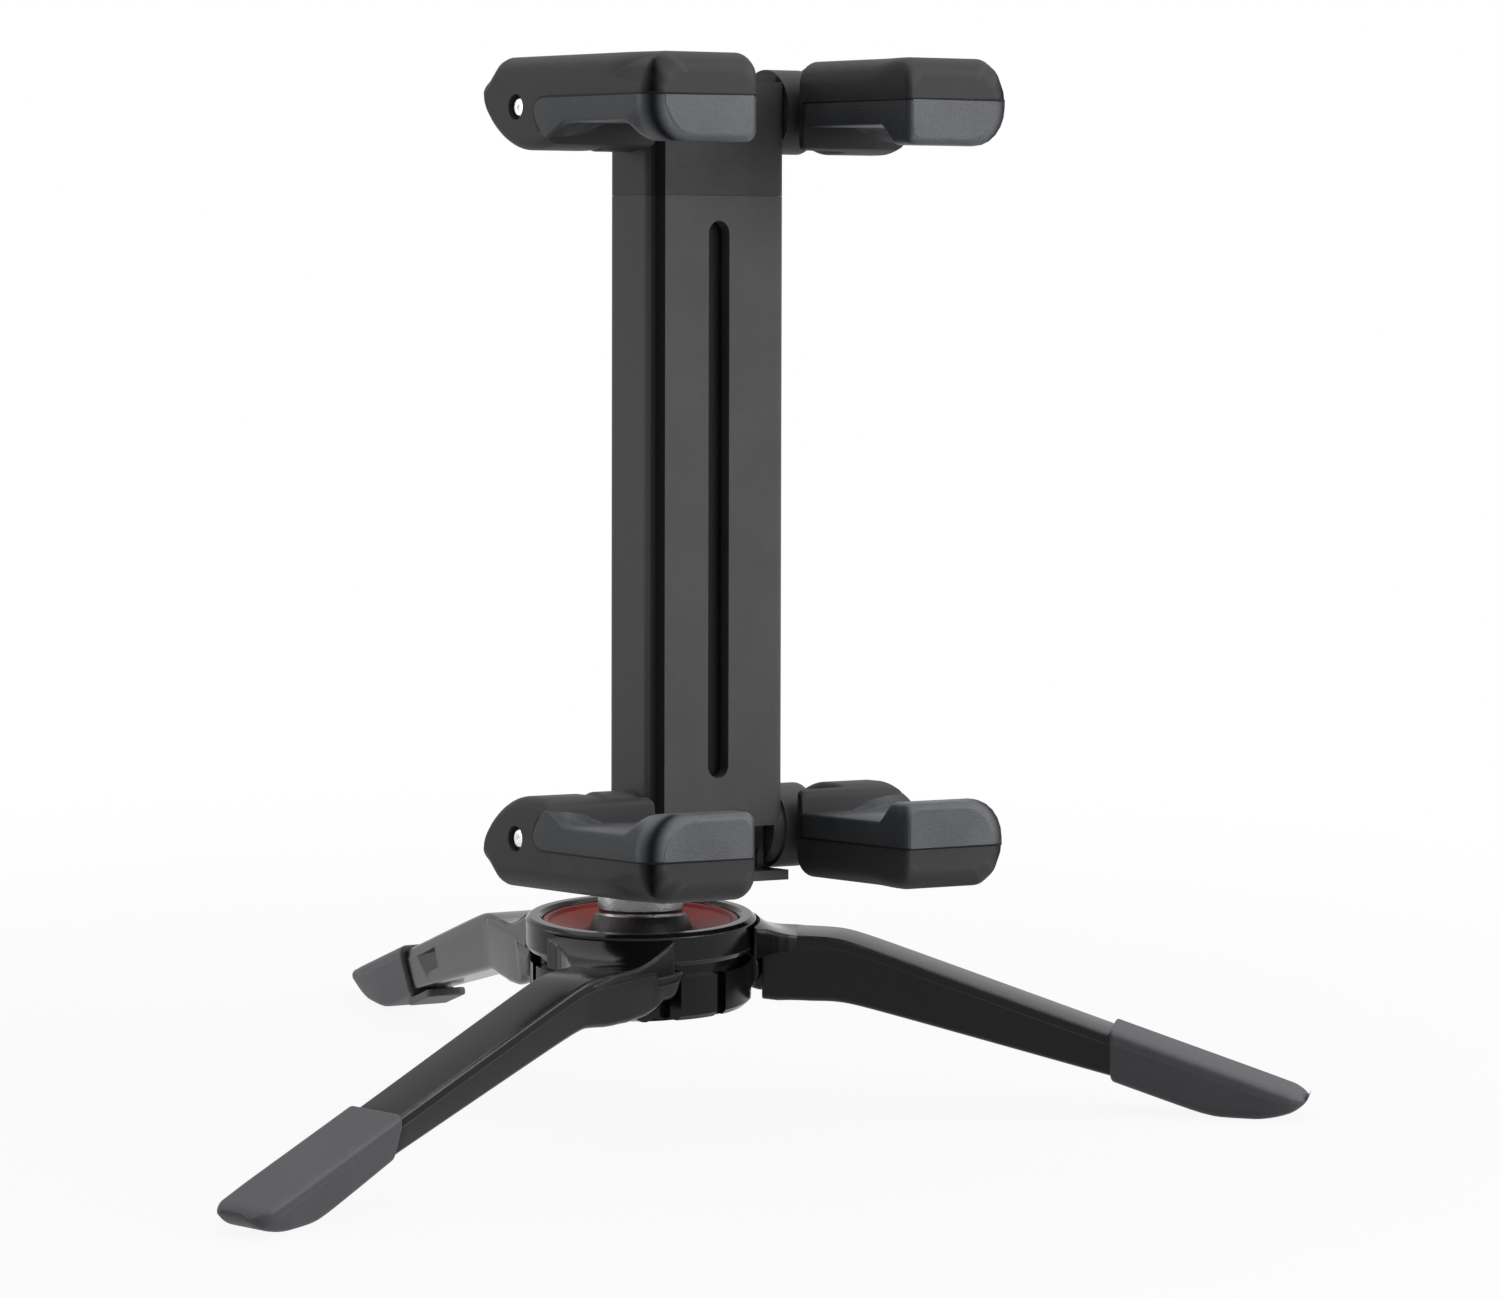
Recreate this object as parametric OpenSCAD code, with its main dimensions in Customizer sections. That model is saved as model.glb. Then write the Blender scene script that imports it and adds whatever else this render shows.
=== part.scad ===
// Small phone tripod: a spring-loaded folding phone clamp on a ball head with three folding legs.
// Frame: +Z up, origin on the floor under the middle of the part's box, clamp front facing -Y.

/* [Ball head] */
// Height of the ball's centre above the floor
ball_z = 14; // [13.5:0.1:20]
// Radius of the ball
ball_r = 4.3; // [3.8:0.05:4.35]
// Radius of the neck on the ball
neck_r = 3.5; // [2.8:0.1:3.6]
// Height of the neck's foot above the ball's centre
neck_rise = 2.7; // [2.4:0.1:3]
// Lean of the clamp away from upright, in degrees
lean_angle = 5.5; // [0:0.5:8]
// Compass direction that the clamp leans towards, in degrees from +X
lean_heading = 53.6; // [0:0.1:359]

/* [Hub] */
// Radius of the rim ring
rim_r = 9.4; // [9.2:0.1:11]
// Height of the rim ring
rim_h = 2.7; // [2.6:0.1:3.2]
// Radius of the red insert
insert_r = 8; // [7.6:0.1:8.4]
// Radius of the hub under the rim
hub_r = 9; // [8.6:0.1:9.2]
// Height of the hub's lower tier
hub_tier_h = 3.5; // [3:0.1:3.5]
// Depth of the hub's underside below the ball's centre
hub_drop = 5; // [4.9:0.1:5.2]
// Height of the dark slot between the lower tier and the rim
hub_slot_h = 1; // [0.6:0.1:1.2]

/* [Legs] */
// Width of a leg
leg_w = 5; // [4:0.1:5.4]
// Width of a leg's lower face where it leaves the hub
leg_keel_w = 2.4; // [1.6:0.1:3.6]
// Distance from the hub's axis to a leg's middle plane
leg_offset = 5.6; // [5.4:0.1:6.4]
// Direction of the first leg, in degrees from +X
leg_heading = -44.4; // [-60:0.1:60]
// Distance along a leg from the hub's axis to its pin
leg_pin_s = 7.3; // [7.2:0.1:8]
// Radius of a leg pin
leg_pin_r = 0.75; // [0.5:0.05:0.9]
// Radius of a leg's knuckle in the hub
knuckle_r = 1.95; // [1.6:0.05:2]
// Distance along a leg to its bend
leg_bend_s = 15.8; // [13:0.1:20]
// Slope of a leg after its bend, in degrees
leg_slope = 18.4; // [16:0.1:20]
// Depth of a leg at its bend
leg_bend_h = 5.4; // [5:0.1:6.4]
// Depth of a leg where its foot begins
leg_end_h = 3.6; // [3.2:0.1:4.4]
// Distance along a leg to the start of its foot
foot_s = 38.4; // [34:0.1:44]
// Length of a rubber foot
foot_len = 15.8; // [14:0.1:20]
// Wall of a rubber foot
foot_wall = 0.45; // [0.3:0.05:0.8]

/* [Column] */
// Width of the column
col_w = 13.2; // [12.4:0.1:15]
// Depth of the column from front to back
col_d = 6.2; // [6:0.1:7]
// Radius of the column's long edges
col_edge_r = 1; // [0.4:0.1:1.5]
// Wall of the column
col_wall = 1.1; // [0.8:0.1:1.3]
// Height of the column's front face above the lower pin
col_front_rise = 0.3; // [0:0.1:1]
// Height of the seam under the head above the lower pin
seam_rise = 50.8; // [46:0.1:56]
// Width of the long slot in the front
slot_w = 2; // [1.2:0.1:2.4]
// Distance from the seam down to the slot's top
slot_top_gap = 2; // [1:0.1:4]
// Height of the slot's bottom above the lower pin
slot_bottom_rise = 4.3; // [3.6:0.1:8]
// Distance from the ball's centre forward to the column's middle
col_forward = 7.9; // [7.6:0.1:9]

/* [Clamp] */
// Height of the lower pin above the ball's centre
lower_pin_rise = 9.6; // [9.4:0.1:11]
// Distance between the lower and the upper pin
pin_span = 57.6; // [54:0.1:62]
// Travel of the head when the grip opens
grip_travel = 36; // [20:1:38]
// Radius of a hinge pin
pin_r = 0.8; // [0.6:0.05:1]
// Radius of a hinge barrel
barrel_r = 3.4; // [3:0.05:3.4]
// Length of a hinge barrel beside the column
barrel_len = 3.6; // [3:0.1:4]
// Height of the head above the upper pin
head_rise = 2.9; // [2.4:0.1:3.4]

/* [Arms] */
// Gap between the column and an arm
arm_gap = 0.55; // [0.4:0.05:0.8]
// Width of an arm
arm_w = 10.2; // [8:0.1:12]
// Distance from the pin forward to an arm's front
arm_reach = 18.7; // [16:0.1:24]
// Distance from the pin back to an arm's rear end
arm_back = 5.3; // [4.8:0.1:5.4]
// Depth of an arm's outer face from the pin
arm_drop = 4; // [3.6:0.1:4.2]
// Height of an arm's ear above the pin
ear_rise = 3.4; // [2.8:0.1:3.8]
// Depth below the pin of the line where shell and pad meet
parting_drop = 0.7; // [0.5:0.1:1.2]
// Height of the pad's gripping face above the pin
pad_rise = 1.3; // [1:0.1:1.5]
// Height of the hook's lip above the gripping face
lip_h = 1.6; // [1:0.1:2.4]
// Thickness of the hook's lip at its foot
lip_t = 2; // [1.5:0.1:3]
// Radius along the lower edges of an arm's shell
hook_corner_r = 2.2; // [1:0.1:2.8]
// Radius of the lip's outer upper corner, seen from the front
lip_out_r = 2.2; // [0.8:0.1:2.6]
// Radius of the lip's inner upper corner, seen from the front
lip_in_r = 0.9; // [0.4:0.1:1.4]
// Length of the rubber's slope from the gripping face up to the ear
ramp_len = 4.4; // [1:0.1:6]
// Radius of the upright edges at a hook's front
hook_edge_r = 1.2; // [0.5:0.1:2]
// Radius of an ear's rear outer edge
ear_corner_r = 1; // [0.6:0.1:2.6]

/* [Tripod tab] */
// Thickness of the steel tab
tab_t = 0.8; // [0.6:0.05:1]
// Width of the tab under the column
tab_w = 13; // [11:0.1:13.2]
// Radius of the 1/4 inch stud
stud_r = 3.1; // [2.5:0.05:3.1]

/* [Hidden] */
$fn = 64;

// Small working values
eps = 0.02;
far = 200;
run_gap = 0.05;
loose_gap = 0.3;

// Hub heights, all from the ball's centre
hub_bottom_z = ball_z - hub_drop;
tier_top_z = hub_bottom_z + hub_tier_h;
rim_bottom_z = tier_top_z + hub_slot_h;
rim_top_z = rim_bottom_z + rim_h;
collar_top_z = rim_bottom_z + 0.8;
insert_top_z = rim_top_z - 0.3;
insert_lip_z = ball_z + 0.8;
slot_r = hub_r - 0.8;

// Ball seats, thin spherical shells and a cup, each inside the next
seat_gap = 0.02;
seat_t = 0.3;
tilt_seat_r = ball_r + seat_gap + seat_t;
pan_bore_r = tilt_seat_r + seat_gap;
pan_seat_r = ball_r + 0.8;
hub_bore_r = pan_seat_r + run_gap;
pan_seat_drop = pan_bore_r + 0.14;
ball_flat_drop = 3.6;
washer_t = hub_drop - pan_seat_drop;
cap_t = 0.6;

// Legs
leg_names = ["right", "back", "left"];
leg_pin_z = rim_bottom_z - knuckle_r - 0.35;
leg_rise = 0.7;
leg_top_z = rim_bottom_z + leg_rise;
cheek_r = 2.6;
cheek_w = 1.6;
leg_root_s = 10.6;
leg_end_w = 4.7;
pin_seat_t = leg_offset - leg_w / 2 - 3.2;
pin_tip_t = leg_offset + leg_w / 2 - 1.2;
foot_tip_s = foot_s + foot_len;
sole_back = 6.8;
sole_front = 3.1;
sole_start_s = foot_tip_s - sole_back;
sole_end_s = foot_tip_s - sole_front;
tongue_gap = 5;
pocket_back = 5.2;
pocket_len = 2.9;
pocket_h = 2;
pocket_deep = 0.9;
pocket_drop = 3.1;
foot_tab_len = 5;
foot_tab_w = 2.4;
foot_tab_t = 0.7;
groove_w = 1;
groove_deep = 0.7;
groove_turn = 33.4;
drop_start = neck_r + 1.4;
drop_len = 1.9;
drop_w = 2.4;

// Clamp, before it leans
col_y = -col_forward;
col_front_y = col_y - col_d / 2;
col_back_y = col_y + col_d / 2;
low_pin_z = ball_z + lower_pin_rise;
top_pin_z = low_pin_z + pin_span;
seam_z = low_pin_z + seam_rise;
head_top_z = top_pin_z + head_rise;
col_foot_z = low_pin_z + col_front_rise;
cheek_swing_r = col_d / 2;
cavity_w = col_w - 2 * col_wall;
cavity_d = col_d - 2 * col_wall;
ear_boss = 1.2;
ear_boss_r = 2.2;
ear_x = col_w / 2 + barrel_len + loose_gap + ear_boss;
ear_front = col_d / 2;
ear_kink = 0.3;
ear_low_kink = 1.6;
arm_in_x = col_w / 2 + arm_gap;
arm_out_x = arm_in_x + arm_w;
pin_end_x = arm_out_x - 0.6;
inner_wall_y = barrel_r + loose_gap;

// Tab
tab_drop = cheek_swing_r + 0.2;
tab_top_z = low_pin_z - tab_drop;
tab_bottom_z = tab_top_z - tab_t;
boss_z = tab_bottom_z - 1.1;
tab_front_y = col_front_y - 0.6;
tab_ear_in_x = col_w / 2 - 2.15;
tab_ear_out_x = tab_ear_in_x + tab_t;
tab_ear_r = cavity_d / 2 - run_gap;
tab_tail_w = 10;
foot_block_w = 2 * (tab_ear_in_x - 0.1);
plug_z = low_pin_z + tab_ear_r + 0.4;
plug_top_z = plug_z + 4.6;

// Slide, springs and screws
rail_w = 1.3;
slide_gap = 0.2;
rail_out_x = cavity_w / 2 - slide_gap;
rail_d = cavity_d - 2 * slide_gap;
slide_bottom_z = plug_top_z + 0.4;
slide_top_z = seam_z + 3;
spring_r = 1.15;
wire_r = 0.2;
spring_gap = 0.15;
spring_x = rail_out_x - rail_w - spring_gap - spring_r - wire_r;
spring_turns = 16;
screw_r = 0.55;
screw_head_r = 1.1;
screw_head_t = 0.5;
screw_x = 3;
cover_screw_z = plug_z + 2.3;
head_screw_z = seam_z + 1.6;
cover_t = col_wall;
lid_w = col_w - 6.2;
lid_d = col_d - 3.8;
lid_t = 0.5;
lid_deep = 0.7;
cover_bottom_z = plug_z;

// Where the hub's axis stands, so that the origin is under the middle of the part's box
hub_x = 3.634;
hub_y = -9.559;
module placed() {
    translate([hub_x, hub_y, 0]) children();
}

// The clamp leans about the ball's centre
module leaned() {
    translate([0, 0, ball_z])
        rotate(a = lean_angle, v = [-sin(lean_heading), cos(lean_heading), 0])
            translate([0, 0, -ball_z])
                children();
}

// A leg's frame: +X along the leg, +Y to its left, with the leg's middle plane at y = 0
module leg_place(i) {
    rotate([0, 0, leg_heading + 120 * i])
        translate([0, leg_offset, 0])
            children();
}

// A rectangle with round corners, centred on the origin
module round_rect(w, d, r) {
    square([w - 2 * r, d], center = true);
    square([w, d - 2 * r], center = true);
    for (x = [-1, 1], y = [-1, 1])
        translate([x * (w / 2 - r), y * (d / 2 - r)]) circle(r = r);
}

// A cylinder along X between two places
module bar_x(x0, x1, r) {
    translate([x0, 0, 0]) rotate([0, 90, 0]) cylinder(r = r, h = x1 - x0);
}

// A cylinder along Y between two places
module bar_y(y0, y1, r) {
    translate([0, y0, 0]) rotate([-90, 0, 0]) cylinder(r = r, h = y1 - y0);
}

// The pocket that one leg's knuckle turns in, open outwards and downwards
module leg_pocket() {
    height = rim_bottom_z - hub_bottom_z + 1;
    cheek_back_s = leg_pin_s - cheek_r - 0.4;
    translate([leg_pin_s - knuckle_r - 0.4, -leg_w / 2 - loose_gap, hub_bottom_z - 1])
        cube([far, far, height]);
    translate([cheek_back_s, leg_w / 2 - cheek_w - loose_gap, hub_bottom_z - 1])
        cube([far, far, height]);
}

module hub_body() {
    color([0.07, 0.07, 0.075]) placed()
    difference() {
        rotate_extrude()
            polygon([
                [hub_bore_r, hub_bottom_z], [hub_r - 0.4, hub_bottom_z],
                [hub_r, hub_bottom_z + 0.4], [hub_r, tier_top_z],
                [slot_r, tier_top_z], [slot_r, rim_bottom_z],
                [insert_r, rim_bottom_z], [insert_r, collar_top_z],
                [hub_bore_r, collar_top_z]
            ]);
        for (i = [0 : 2]) leg_place(i) {
            leg_pocket();
            translate([leg_pin_s, 0, leg_pin_z])
                bar_y(pin_seat_t - leg_offset, 0, leg_pin_r);
        }
        // upright groove in the wall before each leg's root
        for (i = [0 : 2]) rotate([0, 0, leg_heading + 120 * i - groove_turn])
            translate([hub_r - groove_deep, -groove_w / 2, hub_bottom_z - 1])
                cube([far, groove_w, tier_top_z - hub_bottom_z + 1.5]);
    }
}

// The ring over the insert, with a lip that holds it down
module rim_ring() {
    color([0.2, 0.2, 0.21]) placed()
    rotate_extrude()
        polygon([
            [insert_r, rim_bottom_z], [rim_r - 0.3, rim_bottom_z],
            [rim_r, rim_bottom_z + 0.4], [rim_r, rim_top_z - 0.35],
            [rim_r - 0.35, rim_top_z], [insert_r + 0.25, rim_top_z],
            [insert_r, rim_top_z - 0.25]
        ]);
}

module red_insert() {
    socket_r = ball_r + run_gap;
    color([0.32, 0.08, 0.07]) placed()
    difference() {
        rotate_extrude()
            polygon([
                [0, collar_top_z], [insert_r, collar_top_z],
                [insert_r, insert_top_z], [insert_r - 0.5, insert_top_z],
                [4.6, insert_lip_z], [0, insert_lip_z]
            ]);
        translate([0, 0, ball_z]) sphere(r = socket_r);
        // three drops in the cone that let the neck swing over
        for (a = [20, 140, 260])
            rotate([0, 0, a])
                translate([drop_start, -drop_w / 2, insert_lip_z])
                    cube([drop_len, drop_w, far]);
    }
}

module base_cap() {
    color([0.1, 0.1, 0.105]) placed()
    difference() {
        translate([0, 0, hub_bottom_z - cap_t]) cylinder(r = hub_bore_r + 0.4, h = cap_t);
        // two blind holes for a pin spanner
        for (x = [-3, 3])
            translate([x, 0, hub_bottom_z - cap_t - eps]) cylinder(r = 0.5, h = 0.4);
    }
}

module spring_washer() {
    color([0.7, 0.7, 0.72]) placed()
    translate([0, 0, hub_bottom_z])
        difference() {
            cylinder(r = pan_seat_r - loose_gap, h = washer_t);
            translate([0, 0, -eps]) cylinder(r = 2.2, h = washer_t + 2 * eps);
        }
}

// The outer friction seat, which turns with the clamp's pan
module pan_seat() {
    color([0.85, 0.85, 0.82]) placed()
    difference() {
        translate([0, 0, ball_z - pan_seat_drop]) cylinder(r = pan_seat_r, h = pan_seat_drop - 1.3);
        translate([0, 0, ball_z]) sphere(r = pan_bore_r);
    }
}

// The inner friction seat, a spherical saucer that tilts under the ball
module tilt_seat() {
    top_drop = ball_r * 0.72;
    bottom_drop = tilt_seat_r - 0.17;
    color([0.8, 0.8, 0.76]) placed()
    leaned()
    difference() {
        translate([0, 0, ball_z]) sphere(r = tilt_seat_r);
        translate([0, 0, ball_z]) sphere(r = ball_r + seat_gap);
        translate([0, 0, ball_z - top_drop]) cylinder(r = far, h = far);
        translate([0, 0, ball_z - bottom_drop - far]) cylinder(r = far, h = far);
    }
}

module ball_stud() {
    fillet_h = 0.5;
    color([0.62, 0.62, 0.63]) placed()
    leaned()
    difference() {
        union() {
            translate([0, 0, ball_z]) sphere(r = ball_r);
            translate([0, 0, ball_z]) cylinder(r = neck_r - fillet_h, h = neck_rise + fillet_h);
            translate([0, 0, ball_z + neck_rise])
                cylinder(r1 = neck_r - fillet_h, r2 = neck_r, h = fillet_h);
            translate([0, 0, ball_z + neck_rise + fillet_h])
                cylinder(r = neck_r, h = boss_z - ball_z - neck_rise - fillet_h);
            translate([0, 0, ball_z]) cylinder(r = stud_r, h = tab_top_z - 0.1 - ball_z);
        }
        translate([0, 0, ball_z - ball_flat_drop - far]) cylinder(r = far, h = far);
        translate([0, 0, ball_z - ball_flat_drop - eps]) cylinder(r = 1.2, h = 2.4);
    }
}

// The folding steel tab: plate, tapped boss over the stud, and two ears on the lower pin
module tripod_tab() {
    tail_r = tab_tail_w / 2;
    color([0.6, 0.61, 0.62]) placed()
    leaned()
    difference() {
        union() {
            translate([-tab_w / 2, tab_front_y, tab_bottom_z])
                cube([tab_w, col_back_y - tab_front_y, tab_t]);
            translate([-tail_r, col_back_y - eps, tab_bottom_z])
                cube([tab_tail_w, -col_back_y + eps, tab_t]);
            translate([0, 0, tab_bottom_z]) cylinder(r = tail_r, h = tab_t);
            translate([0, 0, boss_z]) cylinder(r = neck_r + 0.25, h = tab_bottom_z - boss_z + eps);
            for (side = [-1, 1])
                translate([side > 0 ? tab_ear_in_x : -tab_ear_out_x, col_y, low_pin_z]) {
                    bar_x(0, tab_t, tab_ear_r);
                    translate([0, -tab_ear_r, -tab_drop])
                        cube([tab_t, 2 * tab_ear_r, tab_drop]);
                }
        }
        translate([0, 0, boss_z - eps]) cylinder(r = stud_r, h = far);
        translate([0, col_y, low_pin_z]) bar_x(-far, far, pin_r + run_gap);
    }
}

// One slice of a leg: a wedge, wide above and narrow below, with its corners taken off
module leg_slice(top_w, keel_w, h, edge = 0.45) {
    rotate([90, 0, 90])
        linear_extrude(eps)
            polygon([
                [-top_w / 2 + edge, 0], [top_w / 2 - edge, 0],
                [top_w / 2, -edge], [top_w / 2, -2 * edge],
                [keel_w / 2, -h + edge / 2], [keel_w / 2 - edge / 2, -h],
                [-keel_w / 2 + edge / 2, -h], [-keel_w / 2, -h + edge / 2],
                [-top_w / 2, -2 * edge], [-top_w / 2, -edge]
            ]);
}

// Height of a leg's upper face at a distance along it
function leg_top(s) = leg_top_z - max(0, s - leg_bend_s) * tan(leg_slope);

// The bar without its bores: root, shoulder, long sloping part and the tongue in the foot
module leg_blank() {
    root_h = leg_top_z - (leg_pin_z - knuckle_r);
    translate([leg_pin_s, 0, leg_pin_z]) {
        bar_y(-leg_w / 2, leg_w / 2, knuckle_r);
        bar_y(leg_w / 2 - cheek_w, leg_w / 2, cheek_r);
    }
    hull() {
        translate([leg_pin_s, 0, leg_top_z]) leg_slice(leg_w, leg_w, root_h);
        translate([leg_root_s, 0, leg_top_z]) leg_slice(leg_w, leg_w - 1.2, root_h + 0.5);
    }
    hull() {
        translate([leg_root_s, 0, leg_top_z]) leg_slice(leg_w, leg_w - 1.2, root_h + 0.5);
        translate([leg_bend_s, 0, leg_top_z]) leg_slice(leg_w, leg_keel_w, leg_bend_h);
    }
    hull() {
        translate([leg_bend_s, 0, leg_top_z]) leg_slice(leg_w, leg_keel_w, leg_bend_h);
        translate([foot_s, 0, leg_top(foot_s)]) leg_slice(leg_end_w, leg_keel_w, leg_end_h);
    }
    leg_flare();
    leg_tongue();
}

// The plate that widens the leg's shoulder and follows the rim round
module leg_flare() {
    edge = leg_w / 2;
    drop = leg_top_z - rim_bottom_z + loose_gap;
    translate([0, 0, leg_top_z - drop])
        linear_extrude(drop)
            polygon([
                [3, edge + 0.9], [leg_root_s - 2.6, edge + 0.35], [leg_bend_s - 1.6, edge],
                [leg_bend_s, edge - 0.4], [leg_bend_s, 0.4 - edge], [leg_bend_s - 1.6, -edge],
                [leg_root_s + 1.4, -edge - 1], [leg_root_s + 0.2, -edge - 2.3],
                [leg_root_s - 0.5, -edge - 4], [leg_root_s - 2.6, -edge - 4], [3, 0]
            ]);
}

// The part of the bar that the rubber foot grips
module leg_tongue() {
    tongue_end_s = foot_tip_s - tongue_gap;
    slim = foot_wall;
    hull() {
        translate([foot_s, 0, leg_top(foot_s) - slim])
            leg_slice(leg_end_w - 2 * slim, leg_keel_w - slim, leg_end_h - 2 * slim);
        translate([tongue_end_s, 0, leg_top(tongue_end_s) - slim])
            leg_slice(leg_end_w - 2 * slim - 0.4, leg_keel_w - slim, leg_top(tongue_end_s) - 2.2 * slim);
    }
}

module leg(i) {
    color([0.04, 0.04, 0.045]) placed()
    leg_place(i)
    difference() {
        leg_blank();
        // room for the rim, above the knuckle
        translate([0, -leg_offset, rim_bottom_z - 0.3]) cylinder(r = rim_r + 0.35, h = far);
        translate([leg_pin_s, 0, leg_pin_z])
            bar_y(-leg_w, pin_tip_t - leg_offset + 0.1, leg_pin_r + run_gap);
        if (i == 1) back_leg_pocket();
    }
}

// The small pocket with a sloping floor in the back leg's side, next to its foot
module back_leg_pocket() {
    pocket_s = foot_s - pocket_back;
    translate([pocket_s, leg_w / 2 - pocket_deep, leg_top(pocket_s) - pocket_drop])
        rotate([0, leg_slope, 0])
            cube([pocket_len, leg_w, pocket_h]);
}

// The outline of a foot from the side, in distance along the leg and height
module foot_outline() {
    start = foot_s - 0.1;
    end_top_s = foot_tip_s - 1.3;
    polygon([
        [start, leg_top(start) + foot_wall],
        [end_top_s, leg_top(end_top_s) + foot_wall],
        [foot_tip_s, leg_top(foot_tip_s) - 0.2],
        [foot_tip_s - 0.3, 0.75],
        [foot_tip_s - 1.2, 0.3],
        [sole_end_s, 0],
        [sole_start_s, 0],
        [start - 0.6, leg_top(start) - leg_end_h - foot_wall]
    ]);
}

module foot(i) {
    foot_w = leg_end_w + 2 * foot_wall;
    sole_w = leg_keel_w + 2 * foot_wall;
    color([0.2, 0.205, 0.21]) placed()
    leg_place(i)
    difference() {
        union() {
            intersection() {
                translate([0, foot_w / 2, 0]) rotate([90, 0, 0])
                    linear_extrude(foot_w) foot_outline();
                hull() {
                    translate([foot_s - 1, 0, leg_top(foot_s) + 1])
                        leg_slice(foot_w, sole_w, leg_top(foot_s) + 1.1);
                    translate([foot_tip_s - 2, 0, leg_top(foot_tip_s) + 1.2])
                        leg_slice(foot_w, sole_w, leg_top(foot_tip_s) + 1.3);
                    translate([foot_tip_s, 0, leg_top(foot_tip_s) + 1.2])
                        leg_slice(foot_w - 1.6, sole_w - 0.6, leg_top(foot_tip_s) + 1.3);
                }
            }
            if (i == 1) foot_tab();
        }
        leg_blank();
    }
}

// The thin tongue that runs back under the leg from the back foot
module foot_tab() {
    translate([foot_s, 0, leg_top(foot_s) - leg_end_h - 0.5])
        rotate([0, leg_slope, 0])
            translate([-foot_tab_len, -foot_tab_w / 2, -foot_tab_t])
                cube([foot_tab_len + 0.6, foot_tab_w, foot_tab_t]);
}

module leg_pin(i) {
    color([0.7, 0.7, 0.72]) placed()
    leg_place(i)
        translate([leg_pin_s, 0, leg_pin_z])
            bar_y(pin_seat_t - leg_offset, pin_tip_t - leg_offset, leg_pin_r);
}

// The two hinge barrels at one end of the column
module barrels(pin_z) {
    for (side = [-1, 1])
        translate([0, col_y, pin_z]) {
            inner = col_w / 2 - eps;
            outer = col_w / 2 + barrel_len;
            bevel = 0.5;
            rotate([0, 0, side > 0 ? 0 : 180]) {
                bar_x(inner, outer - bevel, barrel_r);
                translate([outer - bevel, 0, 0]) rotate([0, 90, 0])
                    cylinder(r1 = barrel_r, r2 = barrel_r - bevel, h = bevel);
            }
        }
}

module column_shell() {
    slot_bottom_z = low_pin_z + slot_bottom_rise;
    slot_top_z = seam_z - slot_top_gap;
    color([0.235, 0.235, 0.24]) placed()
    leaned()
    difference() {
        union() {
            translate([0, col_y, col_foot_z])
                linear_extrude(seam_z - col_foot_z) round_rect(col_w, col_d, col_edge_r);
            barrels(low_pin_z);
            // side cheeks, round about the pin so that the tab can swing past
            for (side = [-1, 1])
                translate([side > 0 ? col_w / 2 - col_wall : -col_w / 2, col_y, low_pin_z])
                    bar_x(0, col_wall, cheek_swing_r);
        }
        translate([0, col_y, col_foot_z - eps])
            linear_extrude(far) square([cavity_w, cavity_d], center = true);
        // window for the back cover, and for the tab's ears below it
        translate([-cavity_w / 2, col_y, col_foot_z - cheek_swing_r - 1])
            cube([cavity_w, far, far]);
        // slot along the front
        translate([-slot_w / 2, col_front_y - eps, slot_bottom_z + slot_w / 2])
            cube([slot_w, col_wall + 2 * eps, slot_top_z - slot_bottom_z - slot_w]);
        for (z = [slot_bottom_z + slot_w / 2, slot_top_z - slot_w / 2])
            translate([0, 0, z]) bar_y(col_front_y - eps, col_front_y + col_wall + eps, slot_w / 2);
        translate([0, col_y, low_pin_z]) bar_x(-far, far, pin_r);
    }
}

module back_cover() {
    color([0.22, 0.22, 0.225]) placed()
    leaned()
    difference() {
        translate([-cavity_w / 2, col_back_y - cover_t, cover_bottom_z])
            cube([cavity_w, cover_t, seam_z - cover_bottom_z]);
        for (x = [-screw_x, screw_x]) translate([x, 0, cover_screw_z]) {
            bar_y(col_y, col_back_y + eps, screw_r);
            bar_y(col_back_y - screw_head_t, col_back_y + eps, screw_head_r);
        }
    }
}

// Two countersunk-style screws from the rear, on a line at one height
module rear_screws(z) {
    for (x = [-screw_x, screw_x]) translate([x, 0, z]) difference() {
        union() {
            bar_y(col_y - 0.5, col_back_y - screw_head_t + eps, screw_r);
            bar_y(col_back_y - screw_head_t, col_back_y - 0.05, screw_head_r);
        }
        for (a = [0, 90])
            translate([0, col_back_y, 0]) rotate([0, a, 0])
                cube([1.3, 0.6, 0.25], center = true);
    }
}

module cover_screws() {
    color([0.55, 0.55, 0.56]) placed() leaned() rear_screws(cover_screw_z);
}

module column_foot() {
    front_y = col_front_y + 0.7;
    block_z = low_pin_z - cheek_swing_r;
    color([0.13, 0.13, 0.135]) placed()
    leaned()
    difference() {
        union() {
            translate([0, col_y, low_pin_z])
                bar_x(-foot_block_w / 2, foot_block_w / 2, cheek_swing_r);
            translate([-foot_block_w / 2, front_y, block_z])
                cube([foot_block_w, col_y - front_y, cheek_swing_r]);
            translate([-foot_block_w / 2, col_y - cavity_d / 2, low_pin_z])
                cube([foot_block_w, cavity_d, plug_z - low_pin_z + eps]);
            translate([-cavity_w / 2, col_y - cavity_d / 2, plug_z])
                cube([cavity_w, cavity_d, plug_top_z - plug_z]);
        }
        // the front face of the shell stands over the block
        translate([-far / 2, col_front_y - eps, col_foot_z])
            cube([far, col_wall + 2 * eps, far]);
        translate([0, col_y, low_pin_z]) bar_x(-far, far, pin_r);
        for (x = [-screw_x, screw_x])
            translate([x, 0, cover_screw_z]) bar_y(col_y - 0.5, far, screw_r);
    }
}

module hinge_pin(pin_z) {
    color([0.78, 0.78, 0.8]) placed()
    leaned()
        translate([0, col_y, pin_z]) bar_x(-pin_end_x, pin_end_x, pin_r);
}

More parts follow.
